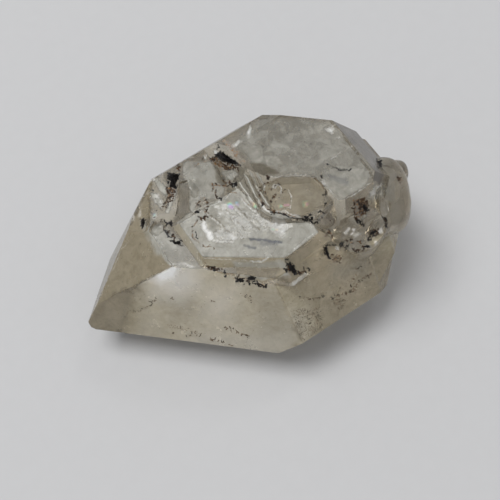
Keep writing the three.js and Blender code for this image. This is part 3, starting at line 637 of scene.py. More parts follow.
# Camera, from the photograph: image side and focal length in its pixels, and places in millimetres.
IMAGE_SIDE = 500
FOCAL_PIXELS = 933
SENSOR = 36
CLIP_START = 0.001
CAMERA_EYE = Vector((-20.08, -41.20, 102.14))
CAMERA_TARGET = Vector((1.435, 1.291, 0))
CAMERA_ROLL = 7.21

# The stage, in metres.
LIGHT_DISTANCE = 1.2
FLOOR_HALF = 1.2
FLOOR_GAP = 0.00004
LIGHT_BOUNCES = 32


def camera_axes():
    """The camera's right, up and forward directions in the part's frame."""
    forward = (CAMERA_TARGET - CAMERA_EYE).normalized()
    level_right = forward.cross(Vector((0, 0, 1))).normalized()
    level_up = level_right.cross(forward)
    c, s = math.cos(math.radians(CAMERA_ROLL)), math.sin(math.radians(CAMERA_ROLL))
    return c * level_right - s * level_up, c * level_up + s * level_right, forward


def make_camera():
    right, up, forward = camera_axes()
    data = bpy.data.cameras.new("camera")
    data.sensor_width = SENSOR
    data.lens = SENSOR * FOCAL_PIXELS / IMAGE_SIDE
    data.clip_start = CLIP_START
    camera = bpy.data.objects.new("camera", data)
    bpy.context.scene.collection.objects.link(camera)
    turn = Matrix((right, up, -forward)).transposed().to_4x4()
    camera.matrix_world = Matrix.Translation(CAMERA_EYE * MM) @ turn
    bpy.context.scene.camera = camera


def pixel_direction(u, v):
    """The way a pixel of the photograph looks, in the part's frame."""
    right, up, forward = camera_axes()
    half = IMAGE_SIDE / 2
    return (forward + right * ((u - half) / FOCAL_PIXELS) + up * ((half - v) / FOCAL_PIXELS)).normalized()


def pixels_of(points):
    """The pixels where the photograph shows these points of the part's frame, in millimetres."""
    right, up, forward = (np.array(axis) for axis in camera_axes())
    away = points - np.array(CAMERA_EYE)
    depth = away @ forward
    half = IMAGE_SIDE / 2
    across = half + FOCAL_PIXELS * (away @ right) / depth
    down = half - FOCAL_PIXELS * (away @ up) / depth
    return np.stack([across, down], axis=1)


def on_low_level(u, v):
    """The point that a pixel shows at the low level's height, in the stone's own frame."""
    direction = pixel_direction(u, v)
    point = CAMERA_EYE + direction * ((LOW_LEVEL - CAMERA_EYE.z) / direction.z)
    return point - STONE_SHIFT


# Convex solids from their faces: rows of a normal and a distance.

def unit(vector):
    return np.array(vector, float) / np.linalg.norm(vector)


def long_face_normal(turn):
    angle = math.radians(LONG_FACE_TURN * turn)
    return np.array((0, -math.sin(angle), math.cos(angle)))


def end_face_normal(end, turn):
    lean = math.radians(END_FACE_LEAN)
    return long_face_normal(turn) * math.cos(lean) + np.array((end * math.sin(lean), 0, 0))


def faces_at(distances, end=None):
    """The long faces at these distances from the middle, or the faces at the tip's or the lobes' end."""
    middle = np.array((0, 0, MIDDLE_HEIGHT))
    rows = []
    for name, distance in distances.items():
        normal = end_face_normal(end, TURNS[name]) if end else long_face_normal(TURNS[name])
        rows.append((normal, normal @ middle + distance))
    return rows


def level_face(height):
    return (np.array((0.0, 0, 1)), height)


def root_face(height):
    return (np.array((0.0, 0, -1)), -height)


def side_face(side, level):
    bearing, slope, reach = side[:3]
    top = side[3] if len(side) > 3 else level
    angle, lean = math.radians(bearing), math.radians(slope)
    along = np.array((math.cos(angle), math.sin(angle), 0))
    normal = along * math.sin(lean) + np.array((0, 0, math.cos(lean)))
    return (normal, normal @ (along * reach + np.array((0, 0, top))))


def side_faces(sides, level):
    return [side_face(side, level) for side in sides]


def corners_behind(faces):
    """The corners of the convex solid behind these faces."""
    normals = np.array([face[0] for face in faces])
    distances = np.array([face[1] for face in faces])
    triples = np.array(list(combinations(range(len(faces)), 3)))
    crossing = normals[triples]
    meets = np.abs(np.linalg.det(crossing)) > PARALLEL
    corners = np.linalg.solve(crossing[meets], distances[triples[meets]][..., None])[..., 0]
    inside = (corners @ normals.T <= distances + ON_FACE).all(axis=1)
    return np.unique(corners[inside].round(CORNER_DIGITS), axis=0)


def worn_edges(faces, width, seed):
    """A narrow face along each edge of the convex solid, of about the width, as wear leaves it."""
    rng = random.Random(seed)
    corners = corners_behind(faces)
    worn = []
    for (a, a_far), (b, b_far) in combinations(faces, 2):
        on_both = (abs(corners @ a - a_far) < SAME_POINT) & (abs(corners @ b - b_far) < SAME_POINT)
        if on_both.sum() < 2:
            continue
        half_angle = math.acos(max(-1, min(1, a @ b))) / 2
        normal = unit(a + b)
        depth = width * rng.uniform(*WEAR_RANGE) / 2 * math.tan(half_angle)
        worn.append((normal, (corners[on_both] @ normal).max() - depth))
    return worn


def mesh_object(name, mesh):
    made = bpy.data.objects.new(name, mesh)
    bpy.context.scene.collection.objects.link(made)
    return made


def object_from_bmesh(name, bm):
    mesh = bpy.data.meshes.new(name)
    bm.to_mesh(mesh)
    bm.free()
    return mesh_object(name, mesh)


def hull_bmesh(points):
    bm = bmesh.new()
    vertices = [bm.verts.new(point) for point in points]
    made = bmesh.ops.convex_hull(bm, input=vertices)
    unused = [v for v in made["geom_interior"] if isinstance(v, bmesh.types.BMVert)]
    bmesh.ops.delete(bm, geom=unused, context="VERTS")
    return bm


def hull(points):
    bm = hull_bmesh(points)
    bmesh.ops.recalc_face_normals(bm, faces=bm.faces)
    return object_from_bmesh("solid", bm)


def solid_behind(faces, wear=EDGE_WEAR, seed=1):
    return hull(corners_behind(faces + (worn_edges(faces, wear, seed) if wear else [])))


def combine(base, other, operation):
    modifier = base.modifiers.new("combine", "BOOLEAN")
    modifier.operation = operation
    modifier.solver = "MANIFOLD"
    modifier.object = other
    graph = bpy.context.evaluated_depsgraph_get()
    mesh = bpy.data.meshes.new_from_object(base.evaluated_get(graph))
    base.modifiers.clear()
    base.data = mesh
    bpy.data.objects.remove(other)
    return base


def joined(solids):
    whole = solids[0]
    for solid in solids[1:]:
        combine(whole, solid, "UNION")
    return whole


def raised_level(top, sides, seed):
    return solid_behind([level_face(top), root_face(ROOT_HEIGHT)] + side_faces(sides, top), seed=seed)


def main_crystal():
    faces = [level_face(LOW_LEVEL)] + faces_at(LONG_FACES) + faces_at(TIP_END_FACES, TIP_END)
    faces += faces_at(LOBE_END_FACES, LOBE_END) + side_faces([BROKEN_CORNER], 0)
    return solid_behind(faces, seed=2)


def outer_faces():
    """The space that the crystal's outer faces leave for what is raised on its top."""
    faces = [level_face(HIGH_LEVEL)] + faces_at(LONG_FACES) + faces_at(TIP_END_FACES, TIP_END)
    return solid_behind(faces + faces_at(HIGH_END_FACES, LOBE_END), wear=0)


def high_crystal():
    around = [level_face(HIGH_LEVEL), root_face(HIGH_ROOT_HEIGHT)] + faces_at(HIGH_LONG_FACES)
    around += faces_at(HIGH_END_FACES, LOBE_END) + side_faces(HIGH_SIDES, HIGH_LEVEL)
    return joined([
        solid_behind(around + side_faces(HIGH_BACK_SIDES, HIGH_LEVEL), seed=3),
        solid_behind(around + side_faces(HIGH_FRONT_SIDES, HIGH_LEVEL), seed=4),
    ])


def stair_of_ridges():
    ridges = []
    for i in range(RIDGES):
        sides = [(bearing, slope, reach - i * run) for (bearing, slope, reach), run in RIDGE_SIDES]
        top = LOW_LEVEL + FIRST_RISE + i * RIDGE_RISE
        ridges.append(raised_level(top, sides, seed=10 + i))
    return joined(ridges)


# Rounded and broken shapes, with many small faces.

def smooth_rings(rings):
    """The given rings and more between them, on a smooth curve through them."""
    heights = np.array([ring[0] for ring in rings], float)
    shares = np.array([ring[1] for ring in rings], float)
    slopes = np.gradient(shares, heights)
    made = []
    for i in range(len(rings) - 1):
        span = heights[i + 1] - heights[i]
        for k in range(RING_STEPS):
            t = k / RING_STEPS
            bend = (
                (2 * t**3 - 3 * t**2 + 1) * shares[i]
                + (t**3 - 2 * t**2 + t) * span * slopes[i]
                + (3 * t**2 - 2 * t**3) * shares[i + 1]
                + (t**3 - t**2) * span * slopes[i + 1]
            )
            made.append((heights[i] + t * span, bend))
    return made + [(heights[-1], shares[-1])]


def close_rings(bm, rings):
    """Walls from ring to ring, and a face over the first and the last."""
    count = len(rings[0])
    for lower, upper in zip(rings, rings[1:]):
        for i in range(count):
            k = (i + 1) % count
            bm.faces.new((lower[i], lower[k], upper[k], upper[i]))
    bm.faces.new(list(reversed(rings[0])))
    bm.faces.new(rings[-1])


def lobe(centre, size, turn, rings):
    """A rounded lobe: rings of a squarish oval, a little uneven."""
    heading = Matrix.Rotation(math.radians(turn), 3, "Z")
    bm = bmesh.new()
    loops = []
    for height, share in smooth_rings(rings):
        loop = []
        for i in range(LOBE_POINTS):
            angle = 2 * math.pi * i / LOBE_POINTS
            c, s = math.cos(angle), math.sin(angle)
            swell = share * (abs(c) ** LOBE_SQUARENESS + abs(s) ** LOBE_SQUARENESS) ** (-1 / LOBE_SQUARENESS)
            point = heading @ Vector((c * swell * size[0], s * swell * size[1], 0))
            point += Vector((centre[0], centre[1], height))
            away = Vector((c, s, 0))
            point += heading @ away * LOBE_ROUGHNESS * noise.noise(point * LOBE_WAVE)
            loop.append(bm.verts.new(point))
        loops.append(loop)
    close_rings(bm, loops)
    return object_from_bmesh("lobe", bm)


def bite(centre, radii, turn, tilt, seed):
    """A shell-shaped bite: its surface ripples round the place of the blow."""
    rng = random.Random(seed)
    blow = Vector((rng.uniform(-1, 1), rng.uniform(-1, 1), BLOW_HEIGHT)).normalized() * BLOW_DISTANCE
    offset = Vector([rng.uniform(0, NOISE_SPAN) for _ in range(3)])
    place = Matrix.Translation(centre) @ Matrix.Rotation(math.radians(turn), 4, "Z")
    place = place @ Matrix.Rotation(math.radians(tilt), 4, "X") @ Matrix.Diagonal((*radii, 1))
    bm = bmesh.new()
    bmesh.ops.create_icosphere(bm, subdivisions=BITE_DETAIL, radius=1)
    for vertex in bm.verts:
        point = vertex.co.copy()
        ripple = BITE_RIPPLE * math.sin((point - blow).length * RIPPLE_RATE)
        rough = BITE_ROUGHNESS * noise.fractal(point * BITE_WAVE + offset, *BITE_NOISE)
        vertex.co = point * (1 + ripple + rough)
    bm.transform(place)
    return object_from_bmesh("bite", bm)


def crack_stretch(start, end):
    """A wedge along one stretch of the crack, open above."""
    along = (end - start).normalized() * CRACK_WIDTH / 2
    side = Vector((-along.y, along.x, 0)).normalized() * CRACK_WIDTH / 2
    over = Vector((0, 0, CRACK_WIDTH * 2))
    corners = []
    for place in (start - along, end + along):
        corners += [place + side + over, place - side + over, place - Vector((0, 0, CRACK_DEPTH))]
    return hull(corners)


def rough_outline(points, rng):
    """The outline with more points, each a little off, as a broken edge has."""
    made = []
    for start, end in zip(points, points[1:] + points[:1]):
        count = max(1, round((end - start).length / OUTLINE_STEP))
        for i in range(count):
            point = start.lerp(end, i / count)
            made.append(point + Vector((rng.uniform(-1, 1), rng.uniform(-1, 1), 0)) * OUTLINE_JITTER)
    return made


def step_solid(pixels, low, high, flare, seed):
    """A prism over an outline, from low to high over the low level, wider by flare at its low end."""
    outline = rough_outline([on_low_level(u, v) for u, v in pixels], random.Random(seed))
    middle = sum(outline, Vector()) / len(outline)
    bm = bmesh.new()
    rings = []
    for height, grow in ((low, flare), (high, 0)):
        ring = []
        for point in outline:
            away = (point - middle).normalized()
            ring.append(bm.verts.new((point.x + away.x * grow, point.y + away.y * grow, LOW_LEVEL + height)))
        rings.append(ring)
    close_rings(bm, rings)
    bmesh.ops.recalc_face_normals(bm, faces=bm.faces)
    bmesh.ops.triangulate(bm, faces=bm.faces)
    return object_from_bmesh("step", bm)


def refined_stone():
    raised = joined([
        raised_level(MIDDLE_LEVEL, MIDDLE_SIDES, seed=5),
        stair_of_ridges(),
        lobe(*LENS_LOBE),
    ])
    raised = combine(raised, outer_faces(), "INTERSECT")
    stone = joined([main_crystal(), raised, high_crystal()] + [lobe(*row) for row in END_LOBES])
    combine(stone, step_solid(LIGHT_STEP, STEP_ROOT, STEP_RISE, STEP_FLARE, seed=200), "UNION")
    combine(stone, step_solid(BROWN_TROUGH, TROUGH_FLOOR, TROUGH_TOP, -STEP_FLARE, seed=300), "DIFFERENCE")
    for i, row in enumerate(BITES):
        combine(stone, bite(*row, seed=100 + i), "DIFFERENCE")
    for start, end in zip(LENS_CRACK, LENS_CRACK[1:]):
        combine(stone, crack_stretch(Vector(start), Vector(end)), "DIFFERENCE")
    return stone


def divide_long_edges(bm):
    """Splits edges until those on top are short enough to carry the surface's detail."""
    for _ in range(MOST_ROUNDS):
        long_edges = []
        for edge in bm.edges:
            a, b = edge.verts
            looks_up = any(face.normal.z > TOP_FACING for face in edge.link_faces)
            on_top = max(a.co.z, b.co.z) > TOP_HEIGHT and looks_up
            if (a.co - b.co).length > (TOP_EDGE if on_top else SIDE_EDGE) * LONG_FACTOR:
                long_edges.append(edge)
        if not long_edges:
            break
        bmesh.ops.subdivide_edges(bm, edges=long_edges, cuts=1)
        bmesh.ops.triangulate(bm, faces=[face for face in bm.faces if len(face.verts) > 3])


def shade_stone(stone):
    """Flat crystal faces stay flat, and broken and rounded surfaces are smooth."""
    bm = bmesh.new()
    bm.from_mesh(stone.data)
    bmesh.ops.remove_doubles(bm, verts=bm.verts, dist=SAME_POINT)
    bmesh.ops.dissolve_limit(bm, angle_limit=math.radians(ONE_FACE_ANGLE), verts=bm.verts, edges=bm.edges)
    for face in bm.faces:
        face.smooth = face.calc_area() < SMOOTH_AREA
    bmesh.ops.triangulate(bm, faces=[face for face in bm.faces if len(face.verts) > 3])
    bm.normal_update()
    divide_long_edges(bm)
    for edge in bm.edges:
        edge.smooth = len(edge.link_faces) == 2 and edge.calc_face_angle(0) < math.radians(SHARP_ANGLE)
    bm.to_mesh(stone.data)
    bm.free()


# Colour and cloudiness of the surface, as numbers on its corners.

def area_cover(pixels, outline, softness):
    """How far each pixel is inside the outline, from 0 to 1 across its soft edge."""
    corners = np.array(outline, float)
    ends = np.roll(corners, -1, axis=0)
    near = np.full(len(pixels), np.inf)
    inside = np.zeros(len(pixels), bool)
    for a, b in zip(corners, ends):
        near = np.minimum(near, line_distance(pixels, a, b))
        crosses = (a[1] > pixels[:, 1]) != (b[1] > pixels[:, 1])
        if a[1] != b[1]:
            at = a[0] + (pixels[:, 1] - a[1]) / (b[1] - a[1]) * (b[0] - a[0])
            inside ^= crosses & (pixels[:, 0] < at)
    signed = np.where(inside, near, -near)
    return np.clip(0.5 + signed / (2 * softness), 0, 1)


def line_distance(pixels, a, b):
    along = b - a
    share = np.clip((pixels - a) @ along / (along @ along), 0, 1)
    return np.linalg.norm(pixels - a - share[:, None] * along, axis=1)


def stroke_cover(pixels, points, half_width):
    """How far each pixel is on the line: 1 up to half the half width, and 0 from one and a half on."""
    near = np.full(len(pixels), np.inf)
    for a, b in zip(points, points[1:]):
        near = np.minimum(near, line_distance(pixels, np.array(a, float), np.array(b, float)))
    return np.clip(1.5 - near / half_width, 0, 1)


def seen_in_photo(points, tree):
    """Which of these points no other part of the stone hides from the camera."""
    seen = np.zeros(len(points), bool)
    for i, point in enumerate(points):
        to_point = Vector(point) - CAMERA_EYE
        hit = tree.ray_cast(CAMERA_EYE, to_point.normalized())[3]
        seen[i] = hit is None or hit > to_point.length - HIDDEN_DEPTH
    return seen


def normals_of(mesh):
    normals = np.empty(len(mesh.vertices) * 3)
    mesh.vertices.foreach_get("normal", normals)
    return normals.reshape(-1, 3)


def facing_camera(mesh, points):
    """How well each corner's surface faces the camera: 0 where it turns away, and 1 from 17 degrees on."""
    to_camera = np.array(CAMERA_EYE) - points
    to_camera /= np.linalg.norm(to_camera, axis=1)[:, None]
    return np.clip((normals_of(mesh) * to_camera).sum(axis=1) / FACING_FULL, 0, 1)


def surface_of(stone):
    """The stone's corners in the part's frame, and a tree to meet rays with, in millimetres."""
    mesh = stone.data
    points = np.empty(len(mesh.vertices) * 3)
    mesh.vertices.foreach_get("co", points)
    points = points.reshape(-1, 3) + np.array(STONE_SHIFT)
    corners = [Vector(point) for point in points]
    return points, BVHTree.FromPolygons(corners, [tuple(face.vertices) for face in mesh.polygons])


def paint_stone(stone, points, tree):
    """Frost, painted glints, glare and shade, stain and flash, in the places where the photograph shows
    them.
    """
    mesh = stone.data
    exact = pixels_of(points)
    pixels = exact
    for scale, reach in PIXEL_WANDER:
        wander = np.array([noise.noise_vector(Vector(point) * scale) for point in points])[:, :2]
        pixels = pixels + wander * reach
    values = {kind: np.zeros(len(points)) for kind in OPACITY}
    flat = np.clip((normals_of(mesh)[:, 2] - STEEP_BELOW) / (FLAT_ABOVE - STEEP_BELOW), 0, 1)
    parts = {FLAT: flat, STEEP: 1 - flat}
    for kind, rows in AREAS.items():
        for strength, softness, outline, *within in rows:
            cover = area_cover(pixels, outline, softness) * strength
            for limit in within:
                cover *= parts[limit] if limit in (FLAT, STEEP) else area_cover(exact, limit, FACE_EDGE)
            values[kind] = np.maximum(values[kind], cover)
    for kind, rows in STROKES.items():
        for strength, half_width, line in rows:
            cover = stroke_cover(pixels, line, half_width) * strength
            values[kind] = np.maximum(values[kind], cover)
    shown = seen_in_photo(points, tree) * facing_camera(mesh, points)
    for kind, value in values.items():
        layer = mesh.attributes.new(kind, "FLOAT", "POINT")
        layer.data.foreach_set("value", value * shown)
    break_surface(mesh, points, values["frost_and_glint"] * shown)


def break_surface(mesh, points, frost_and_glint):
    """Small steps, like scales, where the surface is frosted."""
    broken = np.flatnonzero(frost_and_glint > SCALE_START)
    along, lean, across = SCALE_RATES
    for i in broken:
        point = Vector(points[i])
        place = Vector((point.x * along + point.y * lean, point.y * across, SCALE_LAYER))
        scale = 0.5 + 0.5 * noise.fractal(place, *SCALE_NOISE)
        step = math.floor(scale * SCALE_STEPS) / SCALE_STEPS
        mesh.vertices[i].co.z -= SCALE_DEPTH * min(1, frost_and_glint[i] * SCALE_GAIN) * (step + SCALE_LEAN * scale)
    touched = np.zeros(len(points), bool)
    touched[broken] = True
    for face in mesh.polygons:
        if touched[list(face.vertices)].any():
            face.use_smooth = True


def to_part_frame(piece):
    piece.data.transform(Matrix.Scale(MM, 4) @ Matrix.Translation(STONE_SHIFT))


def make_stone():
    stone = refined_stone()
    stone.name = "quartz_stone"
    shade_stone(stone)
    points, tree = surface_of(stone)
    paint_stone(stone, points, tree)
    to_part_frame(stone)
    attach(stone, "root")
    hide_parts(STONE)
    return stone, tree


# Grains and crumbs.

def crumb_shape(rng):
    """Corners and faces of an angular lump about one unit in half size."""
    corners = []
    for i in range(CRUMB_CORNERS):
        height = 1 - (2 * i + 1) / CRUMB_CORNERS
        ring = math.sqrt(1 - height * height)
        angle = i * GOLDEN_ANGLE + rng.uniform(-CORNER_TURN, CORNER_TURN)
        share = rng.uniform(*CORNER_REACH)
        corners.append(Vector((math.cos(angle) * ring, math.sin(angle) * ring, height)) * share)
    bm = hull_bmesh(corners)
    bmesh.ops.triangulate(bm, faces=bm.faces)
    bmesh.ops.recalc_face_normals(bm, faces=bm.faces)
    bm.verts.index_update()
    points = np.array([vertex.co for vertex in bm.verts])
    faces = [[vertex.index for vertex in face.verts] for face in bm.faces]
    bm.free()
    return points, faces


def grain_rim(outline, middle, up, rng):
    """Places round a grain, where its outline in the photograph meets the plane it lies in."""
    rim = []
    for a, b in zip(outline, outline[1:] + outline[:1]):
        count = max(1, round(math.dist(a, b) / GRAIN_STEP))
        for i in range(count):
            u = a[0] + (b[0] - a[0]) * i / count + rng.uniform(-GRAIN_JITTER, GRAIN_JITTER)
            v = a[1] + (b[1] - a[1]) * i / count + rng.uniform(-GRAIN_JITTER, GRAIN_JITTER)
            direction = pixel_direction(u, v)
            away = (middle - CAMERA_EYE).dot(up) / direction.dot(up)
            rim.append(CAMERA_EYE + direction * away)
    return rim


def make_grain(index, tree, material):
    """A broken, angular grain lying in the surface, within its outline in the photograph."""
    rng = random.Random(40 + index)
    outline, height = GRAIN_OUTLINES[index]
    u = sum(corner[0] for corner in outline) / len(outline)
    v = sum(corner[1] for corner in outline) / len(outline)
    middle, normal, _, _ = tree.ray_cast(CAMERA_EYE, pixel_direction(u, v))
    up = (normal + Vector((0, 0, 1))).normalized()
    rim = grain_rim(outline, middle, up, rng)
    centre = sum(rim, Vector()) / len(rim)
    bm = bmesh.new()
    rings = []
    for share, lift in GRAIN_RINGS:
        ring = []
        for place in rim:
            out = (place - centre) * share * rng.uniform(*GRAIN_REACH)
            above = up * height * (lift + rng.uniform(-GRAIN_LIFT, GRAIN_LIFT))
            ring.append(bm.verts.new(centre + out + above))
        rings.append(ring)
    count = len(rim)
    for lower, upper in zip(rings, rings[1:]):
        for i in range(count):
            k = (i + 1) % count
            bm.faces.new((lower[i], lower[k], upper[k]))
            bm.faces.new((lower[i], upper[k], upper[i]))
    for ring, lift, turned in ((rings[0], GRAIN_BOTTOM, True), (rings[-1], GRAIN_TOP, False)):
        peak = bm.verts.new(centre + up * height * lift)
        for i in range(count):
            k = (i + 1) % count
            bm.faces.new((ring[k], ring[i], peak) if turned else (ring[i], ring[k], peak))
    bmesh.ops.recalc_face_normals(bm, faces=bm.faces)
    bmesh.ops.scale(bm, vec=(MM, MM, MM), verts=bm.verts)
    grain = object_from_bmesh(f"carbon_lump_{index + 1}", bm)
    grain.data.materials.append(material)
    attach(grain, "root")
    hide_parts(f"carbon_grain_{index + 1}")


def random_pixel(rng, kind, outline):
    """A pixel inside an outline, or near a line."""
    if kind == "line":
        return along_line(rng, outline)
    across = [corner[0] for corner in outline]
    down = [corner[1] for corner in outline]
    while True:
        pixel = (rng.uniform(min(across), max(across)), rng.uniform(min(down), max(down)))
        if area_cover(np.array([pixel]), outline, HARD_EDGE)[0] > 0.5:
            return pixel


def along_line(rng, line):
    """A pixel near the line, anywhere along it."""
    lengths = [math.dist(a, b) for a, b in zip(line, line[1:])]
    at = rng.uniform(0, sum(lengths))
    for a, b, length in zip(line, line[1:], lengths):
        if at <= length:
            break
        at -= length
    share = min(1, at / length)
    return (a[0] + (b[0] - a[0]) * share + rng.gauss(0, LINE_SPREAD),
            a[1] + (b[1] - a[1]) * share + rng.gauss(0, LINE_SPREAD))


def crumb_pixels(rng, kind, count, size, outline):
    """Pixels of a row of crumbs: strewn over an area, or in short, bent chains along a line."""
    for i in range(count):
        if kind == "area" or i % CHAIN == 0:
            pixel = random_pixel(rng, kind, outline)
            heading = rng.uniform(0, 2 * math.pi)
        else:
            heading += rng.gauss(0, CHAIN_BEND)
            step = size * rng.uniform(*CHAIN_STEP)
            pixel = (pixel[0] + math.cos(heading) * step, pixel[1] + math.sin(heading) * step)
        yield pixel


def make_crumbs(name, rows, tree, material, flatness, sink, seed):
    """Many small lumps joined in one mesh, each sunk in the surface under its pixel."""
    rng = random.Random(seed)
    shapes = [crumb_shape(rng) for _ in range(CRUMB_SHAPES)]
    points, faces = [], []
    for kind, count, size, outline in rows:
        for pixel in crumb_pixels(rng, kind, count, size, outline):
            place, normal, _, _ = tree.ray_cast(CAMERA_EYE, pixel_direction(*pixel))
            if place is None:
                continue
            half = size / PIXELS_PER_MM / 2 * rng.uniform(*CRUMB_SIZE)
            length, breadth = rng.uniform(*CRUMB_LENGTH), rng.uniform(*CRUMB_BREADTH)
            lengths = Vector((length, breadth, flatness * rng.uniform(*CRUMB_HEIGHT))) * half
            spin = Matrix.Rotation(rng.uniform(0, CRUMB_SPIN), 3, "Z")
            turn = normal.to_track_quat("Z", "Y").to_matrix() @ spin
            shape, shape_faces = shapes[rng.randrange(CRUMB_SHAPES)]
            middle = place - normal * lengths.z * sink
            moved = shape * np.array(lengths) @ np.array(turn).T + np.array(middle)
            start = len(points)
            points.extend((moved * MM).tolist())
            faces.extend([[start + corner for corner in face] for face in shape_faces])
    mesh = bpy.data.meshes.new(name)
    mesh.from_pydata(points, [], faces)
    crumbs = mesh_object(name, mesh)
    mesh.materials.append(material)
    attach(crumbs, "root")


# Materials.

class Nodes:
    """Short ways to add the nodes that the materials here need."""

    def __init__(self, name):
        self.material = bpy.data.materials.new(name)
        self.material.use_nodes = True
        self.nodes, self.links = self.material.node_tree.nodes, self.material.node_tree.links
        self.shader = self.nodes["Principled BSDF"]
        coordinates = self.nodes.new("ShaderNodeTexCoord")
        self.place = self.vector("SCALE", coordinates.outputs["Object"], scale=1 / MM)

    def put(self, socket, value):
        if isinstance(value, bpy.types.NodeSocket):
            self.links.new(value, socket)
        else:
            socket.default_value = value

    def vector(self, operation, a, b=None, scale=None):
        node = self.nodes.new("ShaderNodeVectorMath")
        node.operation = operation
        self.put(node.inputs[0], a)
        if b is not None:
            self.put(node.inputs[1], b)
        if scale is not None:
            node.inputs["Scale"].default_value = scale
        return node.outputs[0]

    def math(self, operation, a, b=0.0, clamp=False):
        node = self.nodes.new("ShaderNodeMath")
        node.operation = operation
        node.use_clamp = clamp
        self.put(node.inputs[0], a)
        self.put(node.inputs[1], b)
        return node.outputs[0]

    def noise(self, scale, detail=3.0, roughness=0.55, distortion=0.0, place=None):
        node = self.nodes.new("ShaderNodeTexNoise")
        self.put(node.inputs["Vector"], self.place if place is None else place)
        node.inputs["Scale"].default_value = scale
        node.inputs["Detail"].default_value = detail
        node.inputs["Roughness"].default_value = roughness
        node.inputs["Distortion"].default_value = distortion
        return node.outputs["Fac"]

    def attribute(self, name):
        node = self.nodes.new("ShaderNodeAttribute")
        node.attribute_name = name
        return node.outputs["Fac"]

    def between(self, value, low, high, to_low=0.0, to_high=1.0):
        node = self.nodes.new("ShaderNodeMapRange")
        self.put(node.inputs["Value"], value)
        for name, number in (("From Min", low), ("From Max", high), ("To Min", to_low), ("To Max", to_high)):
            node.inputs[name].default_value = number
        return node.outputs["Result"]

    def mix(self, share, a, b):
        node = self.nodes.new("ShaderNodeMix")
        node.data_type = "RGBA"
        self.put(node.inputs[0], share)
        self.put(node.inputs[6], a)
        self.put(node.inputs[7], b)
        return node.outputs[2]

    def ramp(self, share, stops):
        node = self.nodes.new("ShaderNodeValToRGB")
        elements = node.color_ramp.elements
        while len(elements) < len(stops):
            elements.new(0.5)
        for element, (position, colour) in zip(elements, stops):
            element.position = position
            element.color = colour
        self.put(node.inputs["Fac"], share)
        return node.outputs["Color"]

    def bump(self, height, strength, distance, below=None):
        node = self.nodes.new("ShaderNodeBump")
        node.inputs["Strength"].default_value = strength
        node.inputs["Distance"].default_value = distance * MM
        self.put(node.inputs["Height"], height)
        if below is not None:
            self.put(node.inputs["Normal"], below)
        return node.outputs["Normal"]

    def finish(self, inputs):
        """Sets the shader's inputs, and returns the material."""
        for name, value in inputs.items():
            self.put(self.shader.inputs[name], value)
        return self.material


